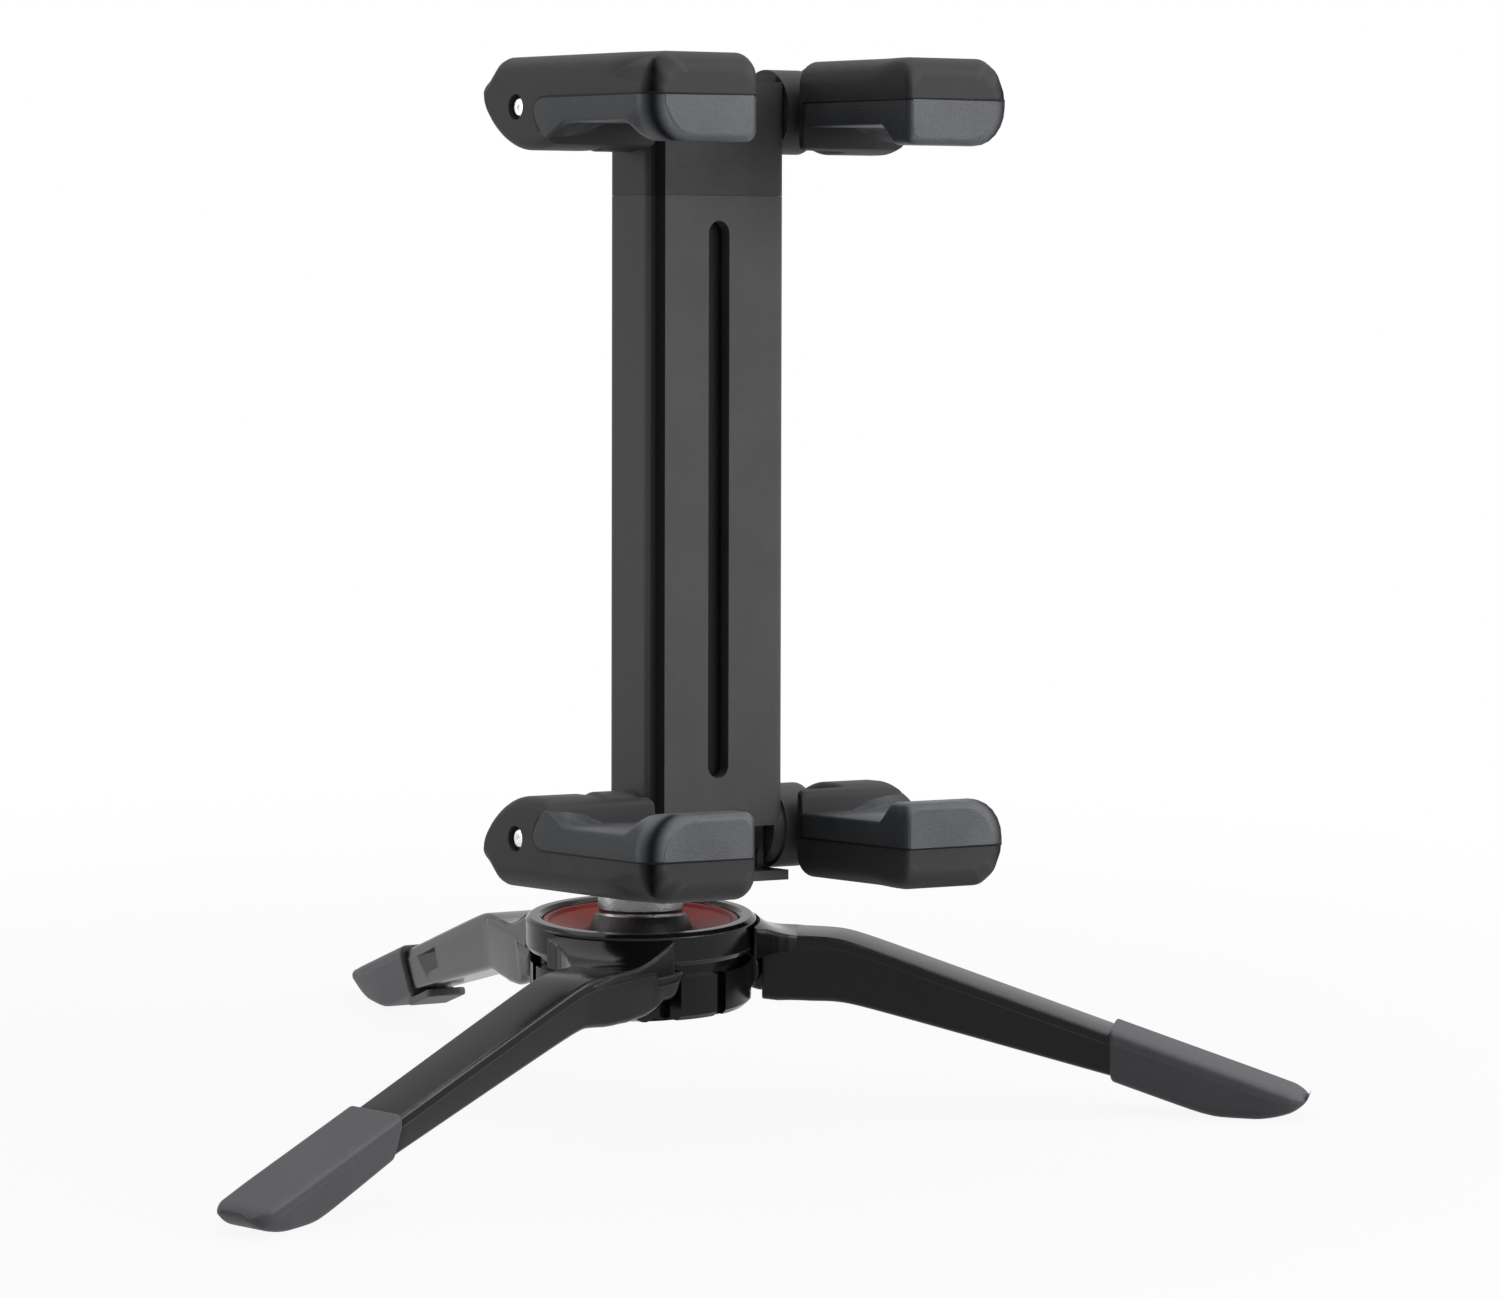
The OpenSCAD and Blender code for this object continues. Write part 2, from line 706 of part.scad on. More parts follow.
module upper_head() {
    color([0.235, 0.235, 0.24]) placed()
    leaned()
    difference() {
        union() {
            translate([0, col_y, seam_z + eps])
                linear_extrude(head_top_z - seam_z - 0.6) round_rect(col_w, col_d, col_edge_r);
            translate([0, col_y, head_top_z - 0.6 - eps])
                linear_extrude(0.6) round_rect(col_w - 0.8, col_d - 0.8, col_edge_r);
            barrels(top_pin_z);
        }
        // socket for the slide frame
        translate([-rail_out_x, col_y - rail_d / 2, seam_z])
            cube([2 * rail_out_x, rail_d, slide_top_z - seam_z]);
        // recess in the top for the cap
        translate([-lid_w / 2, col_y - lid_d / 2, head_top_z - lid_deep]) cube([lid_w, lid_d, far]);
        translate([0, col_y, top_pin_z]) bar_x(-far, far, pin_r);
        for (x = [-screw_x, screw_x]) translate([x, 0, head_screw_z]) {
            bar_y(col_y - 0.5, col_back_y + eps, screw_r);
            bar_y(col_back_y - screw_head_t, col_back_y + eps, screw_head_r);
        }
    }
}

module head_cap() {
    color([0.16, 0.16, 0.165]) placed()
    leaned()
        translate([-lid_w / 2, col_y - lid_d / 2, head_top_z - lid_deep]) cube([lid_w, lid_d, lid_t]);
}

// Two rails and the bridge that joins them inside the head
module slide_frame() {
    color([0.1, 0.1, 0.105]) placed()
    leaned()
    difference() {
        union() {
            for (x = [-rail_out_x, rail_out_x - rail_w])
                translate([x, col_y - rail_d / 2, slide_bottom_z])
                    cube([rail_w, rail_d, slide_top_z - slide_bottom_z]);
            translate([-rail_out_x, col_y - rail_d / 2, seam_z])
                cube([2 * rail_out_x, rail_d, slide_top_z - seam_z]);
        }
        for (x = [-screw_x, screw_x]) translate([x, 0, head_screw_z])
            bar_y(col_y - 0.5, far, screw_r);
    }
}

module head_screws() {
    color([0.55, 0.55, 0.56]) placed() leaned() rear_screws(head_screw_z);
}

// A pull spring: one wire swept along a helix from the foot block to the slide's bridge
spring_low_z = plug_top_z + wire_r + eps;
spring_high_z = seam_z - wire_r - eps;
spring_rings = 8;
spring_sides = 6;
function coil_point(k) =
    let (a = 360 * k / spring_rings, u = k / (spring_rings * spring_turns))
    [spring_r * cos(a), spring_r * sin(a), spring_low_z + u * (spring_high_z - spring_low_z)];
function coil_ring(k) =
    let (a = 360 * k / spring_rings, c = coil_point(k))
    [for (j = [0 : spring_sides - 1])
        let (b = 360 * j / spring_sides)
        [c.x + wire_r * cos(b) * cos(a), c.y + wire_r * cos(b) * sin(a), c.z + wire_r * sin(b)]];

module pull_spring(side) {
    last = spring_rings * spring_turns;
    n = spring_sides;
    points = [for (k = [0 : last]) each coil_ring(k)];
    walls = [for (k = [0 : last - 1], j = [0 : n - 1])
        let (a = k * n + j, b = k * n + (j + 1) % n)
        each [[a, b, b + n], [a, b + n, a + n]]];
    ends = [for (j = [1 : n - 2])
        each [[0, j + 1, j], [last * n, last * n + j, last * n + j + 1]]];
    color([0.7, 0.7, 0.72]) placed()
    leaned()
        translate([side * spring_x, col_y, 0])
            polyhedron(points = points, faces = concat(walls, ends));
}

// A rectangle between two corners, with one radius at its lower and one at its upper corners
module soft_rect(low, high, r_low, r_high) {
    w = high.x - low.x;
    translate([low.x, low.y + r_low]) square([w, high.y - low.y - r_low - r_high]);
    translate([low.x + r_low, low.y]) square([w - 2 * r_low, r_low + eps]);
    translate([low.x + r_high, high.y - r_high - eps]) square([w - 2 * r_high, r_high + eps]);
    for (x = [low.x + r_low, high.x - r_low]) translate([x, low.y + r_low]) circle(r = r_low);
    for (x = [low.x + r_high, high.x - r_high]) translate([x, high.y - r_high]) circle(r = r_high);
}

// An arm's outer shape from the side: forward is -x, and the phone's side is +y
module arm_outline() {
    back_r = arm_back - ear_kink;
    polygon([
        [-arm_reach, ear_rise], [-arm_reach, -arm_drop + 0.8],
        [-arm_reach + 0.8, -arm_drop], [arm_back - 2.2, -arm_drop],
        [arm_back, -ear_low_kink], [ear_kink, ear_rise]
    ]);
    // the ear's rear is a quarter of an ellipse
    translate([ear_kink, -ear_low_kink]) scale([back_r, ear_rise + ear_low_kink]) circle(r = 1);
}

// The outline of the rubber from the side: the hook, the grip face and its end in the ear
module pad_outline() {
    lip_top = pad_rise + lip_h;
    polygon([
        [-arm_reach, -parting_drop], [-arm_reach, lip_top - 0.6],
        [-arm_reach + 0.6, lip_top], [-arm_reach + lip_t - 0.5, lip_top],
        [-arm_reach + lip_t + 0.9, pad_rise],
        [-ear_front + 1.8, pad_rise], [-ear_front + 1.5, -parting_drop]
    ]);
}

// The rubber's slope up the ear, only as wide as the ear
module pad_ramp() {
    start = -ear_front - ramp_len;
    rise = ear_rise - pad_rise;
    polygon([
        [start, pad_rise - 0.3], [start, pad_rise],
        [start + 0.4 * ramp_len, pad_rise + 0.22 * rise],
        [start + 0.8 * ramp_len, pad_rise + 0.62 * rise],
        [-ear_front + 0.6, ear_rise - 0.3], [-ear_front + 1.2, ear_rise - 0.5],
        [-ear_front + 1.8, pad_rise], [-ear_front + 1.8, pad_rise - 0.3]
    ]);
}

// The arm seen along Z: full width in front, only the outer ear beside the barrel
module arm_plan() {
    front_r = hook_edge_r;
    translate([arm_in_x + front_r, -arm_reach]) square([arm_w - 2 * front_r, arm_reach - inner_wall_y]);
    translate([arm_in_x, -arm_reach + front_r])
        square([arm_w, arm_reach - inner_wall_y - front_r]);
    for (x = [arm_in_x + front_r, arm_out_x - front_r])
        translate([x, -arm_reach + front_r]) circle(r = front_r);
    translate([ear_x, -inner_wall_y - eps])
        square([arm_out_x - ear_x, inner_wall_y + arm_back - ear_corner_r + eps]);
    translate([ear_x, 0]) square([arm_out_x - ear_x - ear_corner_r, arm_back]);
    translate([arm_out_x - ear_corner_r, arm_back - ear_corner_r]) circle(r = ear_corner_r);
}

// Sweeps a side outline across an arm's width
module across_arm(x0, x1) {
    translate([x0, 0, 0]) rotate([90, 0, 90]) linear_extrude(x1 - x0) children();
}

// The whole arm, shell and rubber together, without its bore
module arm_block() {
    intersection() {
        across_arm(arm_in_x, arm_out_x) arm_outline();
        translate([0, 0, -far / 2]) linear_extrude(far) arm_plan();
        translate([0, far / 2, 0]) rotate([90, 0, 0]) linear_extrude(far)
            soft_rect([arm_in_x, -arm_drop], [arm_out_x, ear_rise], hook_corner_r, 1.2);
    }
}

// The hook's lip seen from the front, with a large radius on its outer side
module lip_front() {
    lip_top = pad_rise + lip_h;
    low = -arm_drop - 1;
    translate([arm_in_x, low]) square([arm_w, lip_top - lip_out_r - low]);
    translate([arm_in_x, low]) square([arm_w - lip_out_r, lip_top - lip_in_r - low]);
    translate([arm_in_x + lip_in_r, low]) square([arm_w - lip_in_r - lip_out_r, lip_top - low]);
    translate([arm_in_x + lip_in_r, lip_top - lip_in_r]) circle(r = lip_in_r);
    translate([arm_out_x - lip_out_r, lip_top - lip_out_r]) circle(r = lip_out_r);
}

module pad_solid() {
    lip_back_y = -arm_reach + lip_t + 0.9;
    intersection() {
        arm_block();
        union() {
            across_arm(arm_in_x, arm_out_x) pad_outline();
            across_arm(ear_x, arm_out_x) pad_ramp();
        }
        union() {
            translate([0, lip_back_y, 0]) rotate([90, 0, 0]) linear_extrude(far) lip_front();
            translate([0, lip_back_y - eps, -far / 2]) cube(far);
        }
    }
}

module arm_solid() {
    difference() {
        union() {
            arm_block();
            bar_x(ear_x - ear_boss, ear_x + eps, ear_boss_r);
        }
        // above the parting line, everything in front of the ear is rubber or air
        translate([0, -arm_reach - 1, -parting_drop])
            cube([far, arm_reach + 1 - ear_front + 0.1, far]);
        across_arm(0, far) pad_outline();
        across_arm(0, far) pad_ramp();
        bar_x(ear_x - ear_boss - 1, arm_out_x + 1, pin_r + run_gap);
    }
}

// Places an arm's piece: side is -1 on the left, level is -1 below and 1 above
module arm_place(side, level) {
    leaned()
        translate([0, col_y, level < 0 ? low_pin_z : top_pin_z])
            mirror([side < 0 ? 1 : 0, 0, 0])
                mirror([0, 0, level < 0 ? 0 : 1])
                    children();
}

module arm(side, level) {
    color([0.24, 0.24, 0.245]) placed() arm_place(side, level) arm_solid();
}

module pad(side, level) {
    color([0.3, 0.305, 0.315]) placed() arm_place(side, level) pad_solid();
}

hub_body();
rim_ring();
red_insert();
base_cap();
spring_washer();
pan_seat();
tilt_seat();
ball_stud();
tripod_tab();
for (i = [0 : 2]) {
    leg(i);
    foot(i);
    leg_pin(i);
}
column_shell();
back_cover();
cover_screws();
column_foot();
hinge_pin(low_pin_z);  // lower_pin
pull_spring(-1);  // spring_left
pull_spring(1);  // spring_right
upper_head();
head_cap();
slide_frame();
head_screws();
hinge_pin(top_pin_z);  // upper_pin
arm(-1, -1);  // arm_lower_left
arm(1, -1);  // arm_lower_right
arm(-1, 1);  // arm_upper_left
arm(1, 1);  // arm_upper_right
pad(-1, -1);  // pad_lower_left
pad(1, -1);  // pad_lower_right
pad(-1, 1);  // pad_upper_left
pad(1, 1);  // pad_upper_right
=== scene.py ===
"""A small phone tripod: a sprung folding clamp on a ball head with three folding legs.

Every surface is worked out in millimetres, in the frame of the piece it belongs to, and put down in metres.
"""
import math

import bmesh
import bpy
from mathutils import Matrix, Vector
import numpy as np


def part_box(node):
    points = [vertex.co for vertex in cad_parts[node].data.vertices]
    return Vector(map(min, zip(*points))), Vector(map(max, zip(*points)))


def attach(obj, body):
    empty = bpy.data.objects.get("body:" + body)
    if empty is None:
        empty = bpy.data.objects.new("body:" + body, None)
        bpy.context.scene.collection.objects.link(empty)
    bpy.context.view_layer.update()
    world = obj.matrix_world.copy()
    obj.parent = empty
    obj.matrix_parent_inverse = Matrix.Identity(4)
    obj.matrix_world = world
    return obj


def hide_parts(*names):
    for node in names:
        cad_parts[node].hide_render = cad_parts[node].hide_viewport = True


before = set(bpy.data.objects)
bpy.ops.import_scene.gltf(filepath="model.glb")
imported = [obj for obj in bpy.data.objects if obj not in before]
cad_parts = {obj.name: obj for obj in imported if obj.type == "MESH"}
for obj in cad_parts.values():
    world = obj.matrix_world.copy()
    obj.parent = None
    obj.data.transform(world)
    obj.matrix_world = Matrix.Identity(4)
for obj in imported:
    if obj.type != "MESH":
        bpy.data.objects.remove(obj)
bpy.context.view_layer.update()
MM = 0.001
RING_LOW, RING_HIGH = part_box("rim_ring")
HUB = np.array([(RING_LOW.x + RING_HIGH.x) / 2, (RING_LOW.y + RING_HIGH.y) / 2, 0]) / MM  # the hub's axis on the floor

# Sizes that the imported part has, in millimetres
BALL_Z, BALL_R = 14.0, 4.3
LEAN, LEAN_HEADING = math.radians(5.5), math.radians(53.6)
RIM_R, RIM_LOW, RIM_TOP, INSERT_R = 9.4, 13.5, 16.2, 8.0
LEG_HEADING, LEG_OFFSET, LEG_W = -44.4, 5.6, 5.0
PIN_S, PIN_Z, LEG_TOP, KNUCKLE_R = 7.3, 11.2, 14.2, 1.95
BEND_S, SLOPE, FOOT_S, TIP_S = 15.8, math.tan(math.radians(18.4)), 38.4, 54.2
COL_Y, LOW_PIN_Z, TOP_PIN_Z = -7.9, 23.6, 81.2
SLOT_LOW, SLOT_HIGH = 26.9, 73.4
ARM_IN, ARM_OUT, EAR_IN = 7.15, 17.35, 11.7
ARM_REACH, ARM_BACK, ARM_DROP, EAR_RISE, EAR_BASE, PARTING = 18.7, 5.3, 4.0, 3.4, 1.9, 0.7
PAD_RISE, LIP_H = 1.3, 1.6

# Sizes of the finish alone
HOOK_R, HOOK_R_IN = 1.5, 0.5        # upright edges at the hook's front
END_INSET = 0.06                    # share by which a closing ring lies inside its end
SHARP = math.radians(38)            # faces that meet at more than this keep a crisp edge
CHEEK_S, CHEEK_SIDE = 4.4, 0.95     # where the leg's cheek starts in the hub, and its far side
BAR_END = 47.0                      # the bar's end inside the foot
FLARE_IN, FLARE_OUT, FLARE_T = 9.72, 17.4, 1.15     # the shoulder plate's radii and thickness
SLEEVE_S, SLEEVE_RISE, SOLE_END = FOOT_S - 0.35, 0.45, 49.8
POCKET_S = FOOT_S - 8.6
DEEPEST = 5.6                       # depth of the deepest leg at the shoulder

# Each leg: its name, the bar's depth at the shoulder, the bend and the foot, the foot's depth and its growth
LEGS = (("right", (DEEPEST, 5.4, 3.6), 4.5, 0.0),
        ("back", (5.2, 4.9, 3.6), 4.5, 0.0),
        ("left", (4.5, 3.9, 3.2), 3.9, 0.055))


# ---------------------------------------------------------------- surfaces

def round_off(near, radius):
    """How far a rounded end draws in.

    It is radius - sqrt(radius^2 - (radius - near)^2) within a radius of the end, and 0 beyond."""
    gap = np.clip(radius - near, 0, radius)
    return radius - np.sqrt(np.maximum(radius ** 2 - gap ** 2, 0))


def smooth(t):
    """The ease 3t^2 - 2t^3 of t held between 0 and 1."""
    t = np.clip(t, 0, 1)
    return t * t * (3 - 2 * t)


def stations(*stretches):
    """Places along a path: a stretch (start, end, count) runs evenly, an array is kept, and repeats are dropped."""
    runs = [np.linspace(*run) if isinstance(run, tuple) else run for run in stretches]
    return np.unique(np.concatenate(runs).round(5))


def round_stations(end, radius, count=10):
    """Places crowded towards a rounded end: end + radius (1 - cos t); a negative radius runs the other way."""
    return end + radius * (1 - np.cos(np.linspace(0, math.pi / 2, count)))


def section(*corners):
    """The corners (n, k, 2) of a section along a path, from k pairs of coordinates, each a number or n numbers."""
    n = max(np.size(value) for corner in corners for value in corner)
    return np.stack([np.stack([np.broadcast_to(value, n) for value in corner], -1) for corner in corners], 1)


def rounded_sections(corners, radii, steps=6):
    """Cross-sections with round corners.

    corners is (n, k, 2), radii (n, k) or (k,). At each corner the arc's centre lies on the bisector at
    radius / sin(half angle), and the arc turns evenly between its two tangent points.
    Returns (n, k * steps, 2) and, for each point, how far round its corner it lies: 1 at the middle, 0 at
    the flats."""
    n, k, _ = corners.shape
    radii = np.broadcast_to(radii, (n, k))
    before, after = np.roll(corners, 1, axis=1) - corners, np.roll(corners, -1, axis=1) - corners
    len_b, len_a = np.linalg.norm(before, axis=2), np.linalg.norm(after, axis=2)
    before, after = before / np.maximum(len_b, 1e-9)[..., None], after / np.maximum(len_a, 1e-9)[..., None]
    half = np.arccos(np.clip((before * after).sum(2), -1, 1)) / 2
    want = np.maximum(radii / np.tan(np.clip(half, 1e-3, 1.5705)), 1e-6)
    room_b = 0.98 * len_b * want / (want + np.roll(want, 1, axis=1))
    room_a = 0.98 * len_a * want / (want + np.roll(want, -1, axis=1))
    reach = np.minimum(want, np.minimum(room_a, room_b)) * (half > 0.05)
    r = reach * np.tan(half)
    mid = before + after
    mid /= np.maximum(np.linalg.norm(mid, axis=2), 1e-9)[..., None]
    centre = corners + mid * (r / np.sin(np.maximum(half, 1e-3)))[..., None]
    v0, v1 = corners + before * reach[..., None] - centre, corners + after * reach[..., None] - centre
    u = np.linspace(0, 1, steps)
    turn = math.pi - 2 * half
    straight = ((turn < 1e-3) | (half <= 0.05))[..., None]
    scale = np.maximum(np.sin(turn), 1e-4)[..., None]
    s0 = np.where(straight, 1 - u, np.sin((1 - u) * turn[..., None]) / scale)
    s1 = np.where(straight, u, np.sin(u * turn[..., None]) / scale)
    arcs = centre[:, :, None] + v0[:, :, None] * s0[..., None] + v1[:, :, None] * s1[..., None]
    edge_share = np.broadcast_to(np.sin(u * math.pi), (n, k, steps)).reshape(n, -1)
    return arcs.reshape(n, k * steps, 2), edge_share


def grid_faces(rows, cols):
    """The quads of a grid of rows of cols points, each row joined to the next and round on itself."""
    i, j = np.arange(rows - 1)[:, None] * cols, np.arange(cols)[None]
    j2 = (j + 1) % cols
    return np.stack([i + j, i + j2, i + cols + j2, i + cols + j], -1).reshape(-1, 4)


def tube(points, edge_share=0.0):
    """A closed skin over a stack of closed rings, points (n, m, 3).

    Each end is closed by a ring a little way in, so that its face stays flat, and a fan to the middle."""
    low, high = points[0], points[-1]
    caps = [end + END_INSET * (end.mean(0) - end) for end in (low, high)]
    points = np.concatenate([caps[:1], points, caps[1:]])
    n, m, _ = points.shape
    verts = np.concatenate([points.reshape(-1, 3), [points[0].mean(0), points[-1].mean(0)]])
    j = np.arange(m)
    first = np.stack([np.full(m, n * m), (j + 1) % m, j], -1)
    last = np.stack([np.full(m, n * m + 1), (n - 1) * m + j, (n - 1) * m + (j + 1) % m], -1)
    edge = np.zeros((n, m))
    edge[1:-1] = edge_share
    return verts, grid_faces(n, m).tolist() + first.tolist() + last.tolist(), np.append(edge, [0, 0])


def hoop(points, edge_share=0.0):
    """A skin closed both ways over a grid of points (n, m, 3), with no ends; edge_share is one value or one for each
    row.
    """
    n, m, _ = points.shape
    edge = np.zeros((n, m)) + np.reshape(edge_share, (-1, 1))
    return points.reshape(-1, 3), (grid_faces(n + 1, m) % (n * m)).tolist(), edge.ravel()


def swept(corners, radii, steps, places, axis):
    """A tube of round-cornered sections, each set at its own place along one axis of the piece's frame."""
    ring, edge_share = rounded_sections(corners, radii, steps)
    along = np.broadcast_to(places[:, None, None], (*ring.shape[:2], 1))
    return tube(np.concatenate([ring[..., :axis], along, ring[..., axis:]], -1), edge_share)


def lathe(profile, turns=96, axis="z"):
    """A surface of revolution: profile (n, 2) of radius and height, carried round the axis z or x in turns steps."""
    profile = np.asarray(profile, float)
    a = np.linspace(0, 2 * math.pi, turns, endpoint=False)
    r, h = profile[:, :1], np.broadcast_to(profile[:, 1:], (len(profile), turns))
    p = np.stack([r * np.cos(a), r * np.sin(a), h], -1)
    return p[..., [2, 0, 1]] if axis == "x" else p


def round_profile(points, radii, steps=5):
    """An open line of radius and height with each inner corner rounded, by the arcs of rounded_sections."""
    points = np.asarray(points, float)
    arcs, _ = rounded_sections(points[None], np.asarray(radii, float)[None], steps)
    arcs = arcs[0].reshape(len(points), steps, 2)
    arcs[0], arcs[-1] = points[0], points[-1]
    return arcs.reshape(-1, 2)


def join(*shells):
    """Several shells as one list of points, faces and edge shares for the wear and painted highlight."""
    verts, faces, edges, start = [], [], [], 0
    for v, f, e in shells:
        verts.append(v)
        edges.append(e)
        faces += [[start + i for i in face] for face in f]
        start += len(v)
    return np.concatenate(verts), faces, np.concatenate(edges)


# ---------------------------------------------------------------- places and pieces

def here(p):
    """Points already in the frame of the hub's axis, the row frame."""
    return p


def leaned(p):
    """Points of the upright clamp turned by the lean about the ball's centre.

    For a lean a about the axis k each is v cos a + (k x v) sin a + k (k.v)(1 - cos a)."""
    k = np.array([-math.sin(LEAN_HEADING), math.cos(LEAN_HEADING), 0.0])
    v = p - [0, 0, BALL_Z]
    v = v * math.cos(LEAN) + np.cross(k, v) * math.sin(LEAN) + np.outer(v @ k, k) * (1 - math.cos(LEAN))
    return v + [0, 0, BALL_Z]


def leg_frame(i):
    """The map from a leg's own frame (along, left, up) to the row frame."""
    a = math.radians(LEG_HEADING + 120 * i)
    c, s = math.cos(a), math.sin(a)

    def place(p):
        x, y = p[:, 0], p[:, 1] + LEG_OFFSET
        return np.stack([c * x - s * y, s * x + c * y, p[:, 2]], -1)
    return place


def arm_frame(side, level):
    """The map from an arm's own frame (outwards, back, towards the phone) to the row frame."""
    pin_z = LOW_PIN_Z if level < 0 else TOP_PIN_Z

    def place(p):
        return leaned(p * [side, 1, -level] + [0, COL_Y, pin_z])
    return place


def new_mesh(name, shell, place):
    """A shell's mesh in metres."""
    verts, faces, _ = shell
    mesh = bpy.data.meshes.new(name)
    mesh.from_pydata(((place(verts) + HUB) * MM).tolist(), [], faces)
    return mesh


def tidy_faces(mesh):
    """Merges doubled points, drops faces that closed up, and turns every shell's faces outwards."""
    bm = bmesh.new()
    bm.from_mesh(mesh)
    bmesh.ops.remove_doubles(bm, verts=bm.verts, dist=2e-7)
    bmesh.ops.dissolve_degenerate(bm, edges=bm.edges, dist=1e-7)
    bmesh.ops.recalc_face_normals(bm, faces=bm.faces)
    bm.to_mesh(mesh)
    bm.free()


def piece(name, shell, place, material, body, nodes=(), shade=None):
    """Puts a shell into the scene with its body and finish.

    Its wear and painted highlight are kept as the attribute edge, and its painted shade, from 0 to 1, as the attribute
    shade."""
    verts, _, edge = shell
    mesh = new_mesh(name, shell, place)
    dark = np.zeros(len(verts)) if shade is None else shade(verts)
    for label, values in (("edge", edge), ("shade", dark)):
        mesh.attributes.new(label, "FLOAT", "POINT").data.foreach_set("value", values.astype(np.float32))
    obj = bpy.data.objects.new(name, mesh)
    bpy.context.scene.collection.objects.link(obj)
    tidy_faces(mesh)
    mesh.polygons.foreach_set("use_smooth", np.ones(len(mesh.polygons), bool))
    mesh.set_sharp_from_angle(angle=SHARP)
    mesh.materials.append(material)
    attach(obj, body)
    if nodes:
        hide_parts(*nodes)
    return obj


def carve(obj, place, shell):
    """Takes a closed shell away from a piece's mesh and keeps the result as the piece's own mesh."""
    mesh = new_mesh("cutter", shell, place)
    tidy_faces(mesh)
    cutter = bpy.data.objects.new("cutter", mesh)
    bpy.context.scene.collection.objects.link(cutter)
    cut = obj.modifiers.new("bore", "BOOLEAN")
    cut.operation, cut.solver, cut.object = "DIFFERENCE", "EXACT", cutter
    result = bpy.data.meshes.new_from_object(obj.evaluated_get(bpy.context.evaluated_depsgraph_get()))
    obj.modifiers.clear()
    obj.data = result
    bpy.data.objects.remove(cutter)
    result.set_sharp_from_angle(angle=SHARP)


# ---------------------------------------------------------------- finishes

def group(name, inputs, outputs):
    """A node group of plain numbers: inputs maps each label to its usual value, and outputs lists labels."""
    tree = bpy.data.node_groups.new(name, "ShaderNodeTree")
    for label, value in inputs.items():
        tree.interface.new_socket(label, in_out="INPUT", socket_type="NodeSocketFloat").default_value = value
    for label in outputs:
        tree.interface.new_socket(label, in_out="OUTPUT", socket_type="NodeSocketFloat")
    return tree, tree.nodes.new("NodeGroupInput").outputs, tree.nodes.new("NodeGroupOutput").inputs


def use_group(tree, source, **values):
    """A group put to use with some values of its own; returns its outputs."""
    node = tree.nodes.new("ShaderNodeGroup")
    node.node_tree = source
    for label, value in values.items():
        node.inputs[label].default_value = value
    return node.outputs


def feed(tree, value, socket):
    """Gives a socket a value, or links another socket to it."""
    if isinstance(value, bpy.types.NodeSocket):
        tree.links.new(value, socket)
    else:
        socket.default_value = value


def math_node(tree, kind, a, b, clamp=False):
    """One sum of two sockets or numbers."""
    node = tree.nodes.new("ShaderNodeMath")
    node.operation, node.use_clamp = kind, clamp
    feed(tree, a, node.inputs[0])
    feed(tree, b, node.inputs[1])
    return node.outputs[0]


def vector_node(tree, kind, a, b=(0, 0, 0)):
    """One sum of vectors; gives the number where the sum has one."""
    node = tree.nodes.new("ShaderNodeVectorMath")
    node.operation = kind
    feed(tree, a, node.inputs[0])
    feed(tree, b, node.inputs[1])
    return node.outputs["Value" if kind in ("DOT_PRODUCT", "LENGTH") else "Vector"]


def range_node(tree, value, span, result, kind="LINEAR"):
    """A value carried from one span (low, high) to another, and held at its ends."""
    node = tree.nodes.new("ShaderNodeMapRange")
    node.interpolation_type = kind
    feed(tree, value, node.inputs["Value"])
    for label, number in zip(("From Min", "From Max", "To Min", "To Max"), (*span, *result)):
        node.inputs[label].default_value = number
    return node.outputs[0]


def coordinate(tree, kind="Object"):
    """The shaded point in the object's own coordinates, or in others."""
    return tree.nodes.new("ShaderNodeTexCoord").outputs[kind]


def own_value(tree, name):
    """A piece's own attribute."""
    node = tree.nodes.new("ShaderNodeAttribute")
    node.attribute_name = name
    return node.outputs["Fac"]


def noise_node(tree, scale, detail=2, rough=0.5):
    """Noise over the object's own coordinates."""
    node = tree.nodes.new("ShaderNodeTexNoise")
    node.inputs["Detail"].default_value, node.inputs["Roughness"].default_value = detail, rough
    feed(tree, scale, node.inputs["Scale"])
    feed(tree, coordinate(tree), node.inputs["Vector"])
    return node.outputs[0]


def make_grain():
    """Moulded grain: fine and coarse noise for the height, broad soft noise for the mottling."""
    tree, given, out = group("moulded_grain", {"Fine": 9000.0, "Coarse": 2600.0, "Broad": 160.0}, ("Height", "Mottle"))
    fine = math_node(tree, "MULTIPLY", noise_node(tree, given["Fine"], 2, 0.6), 0.6)
    coarse = math_node(tree, "MULTIPLY", noise_node(tree, given["Coarse"], 3, 0.55), 0.4)
    feed(tree, math_node(tree, "ADD", fine, coarse), out["Height"])
    feed(tree, noise_node(tree, given["Broad"], 4, 0.55), out["Mottle"])
    return tree


def make_wear_and_sheen():
    """Edge wear and painted highlight: the piece's own edge attribute broken up by noise, 0 on the flats and up to 1 on
    the corners.
    """
    tree, given, out = group("edge_wear_and_sheen", {"Amount": 0.5, "Scale": 900.0}, ("Mask",))
    patchy = math_node(tree, "ADD", noise_node(tree, given["Scale"], 3), 0.2)
    broken = math_node(tree, "MULTIPLY", own_value(tree, "edge"), patchy)
    feed(tree, math_node(tree, "MULTIPLY", broken, given["Amount"], clamp=True), out["Mask"])
    return tree


def make_dust():
    """Fine pale specks: the smallest cells of a Voronoi pattern, thinned by broad noise."""
    tree, given, out = group("dust_specks", {"Scale": 1400.0, "Amount": 0.3}, ("Mask",))
    cells = tree.nodes.new("ShaderNodeTexVoronoi")
    feed(tree, coordinate(tree), cells.inputs["Vector"])
    feed(tree, given["Scale"], cells.inputs["Scale"])
    speck = math_node(tree, "LESS_THAN", cells.outputs["Distance"], 0.11)
    thin = math_node(tree, "GREATER_THAN", noise_node(tree, 220), 0.56)
    both = math_node(tree, "MULTIPLY", speck, thin)
    feed(tree, math_node(tree, "MULTIPLY", both, given["Amount"]), out["Mask"])
    return tree


GRAIN, WEAR_AND_SHEEN, DUST = make_grain(), make_wear_and_sheen(), make_dust()
DUST_COLOUR = (0.45, 0.45, 0.44)


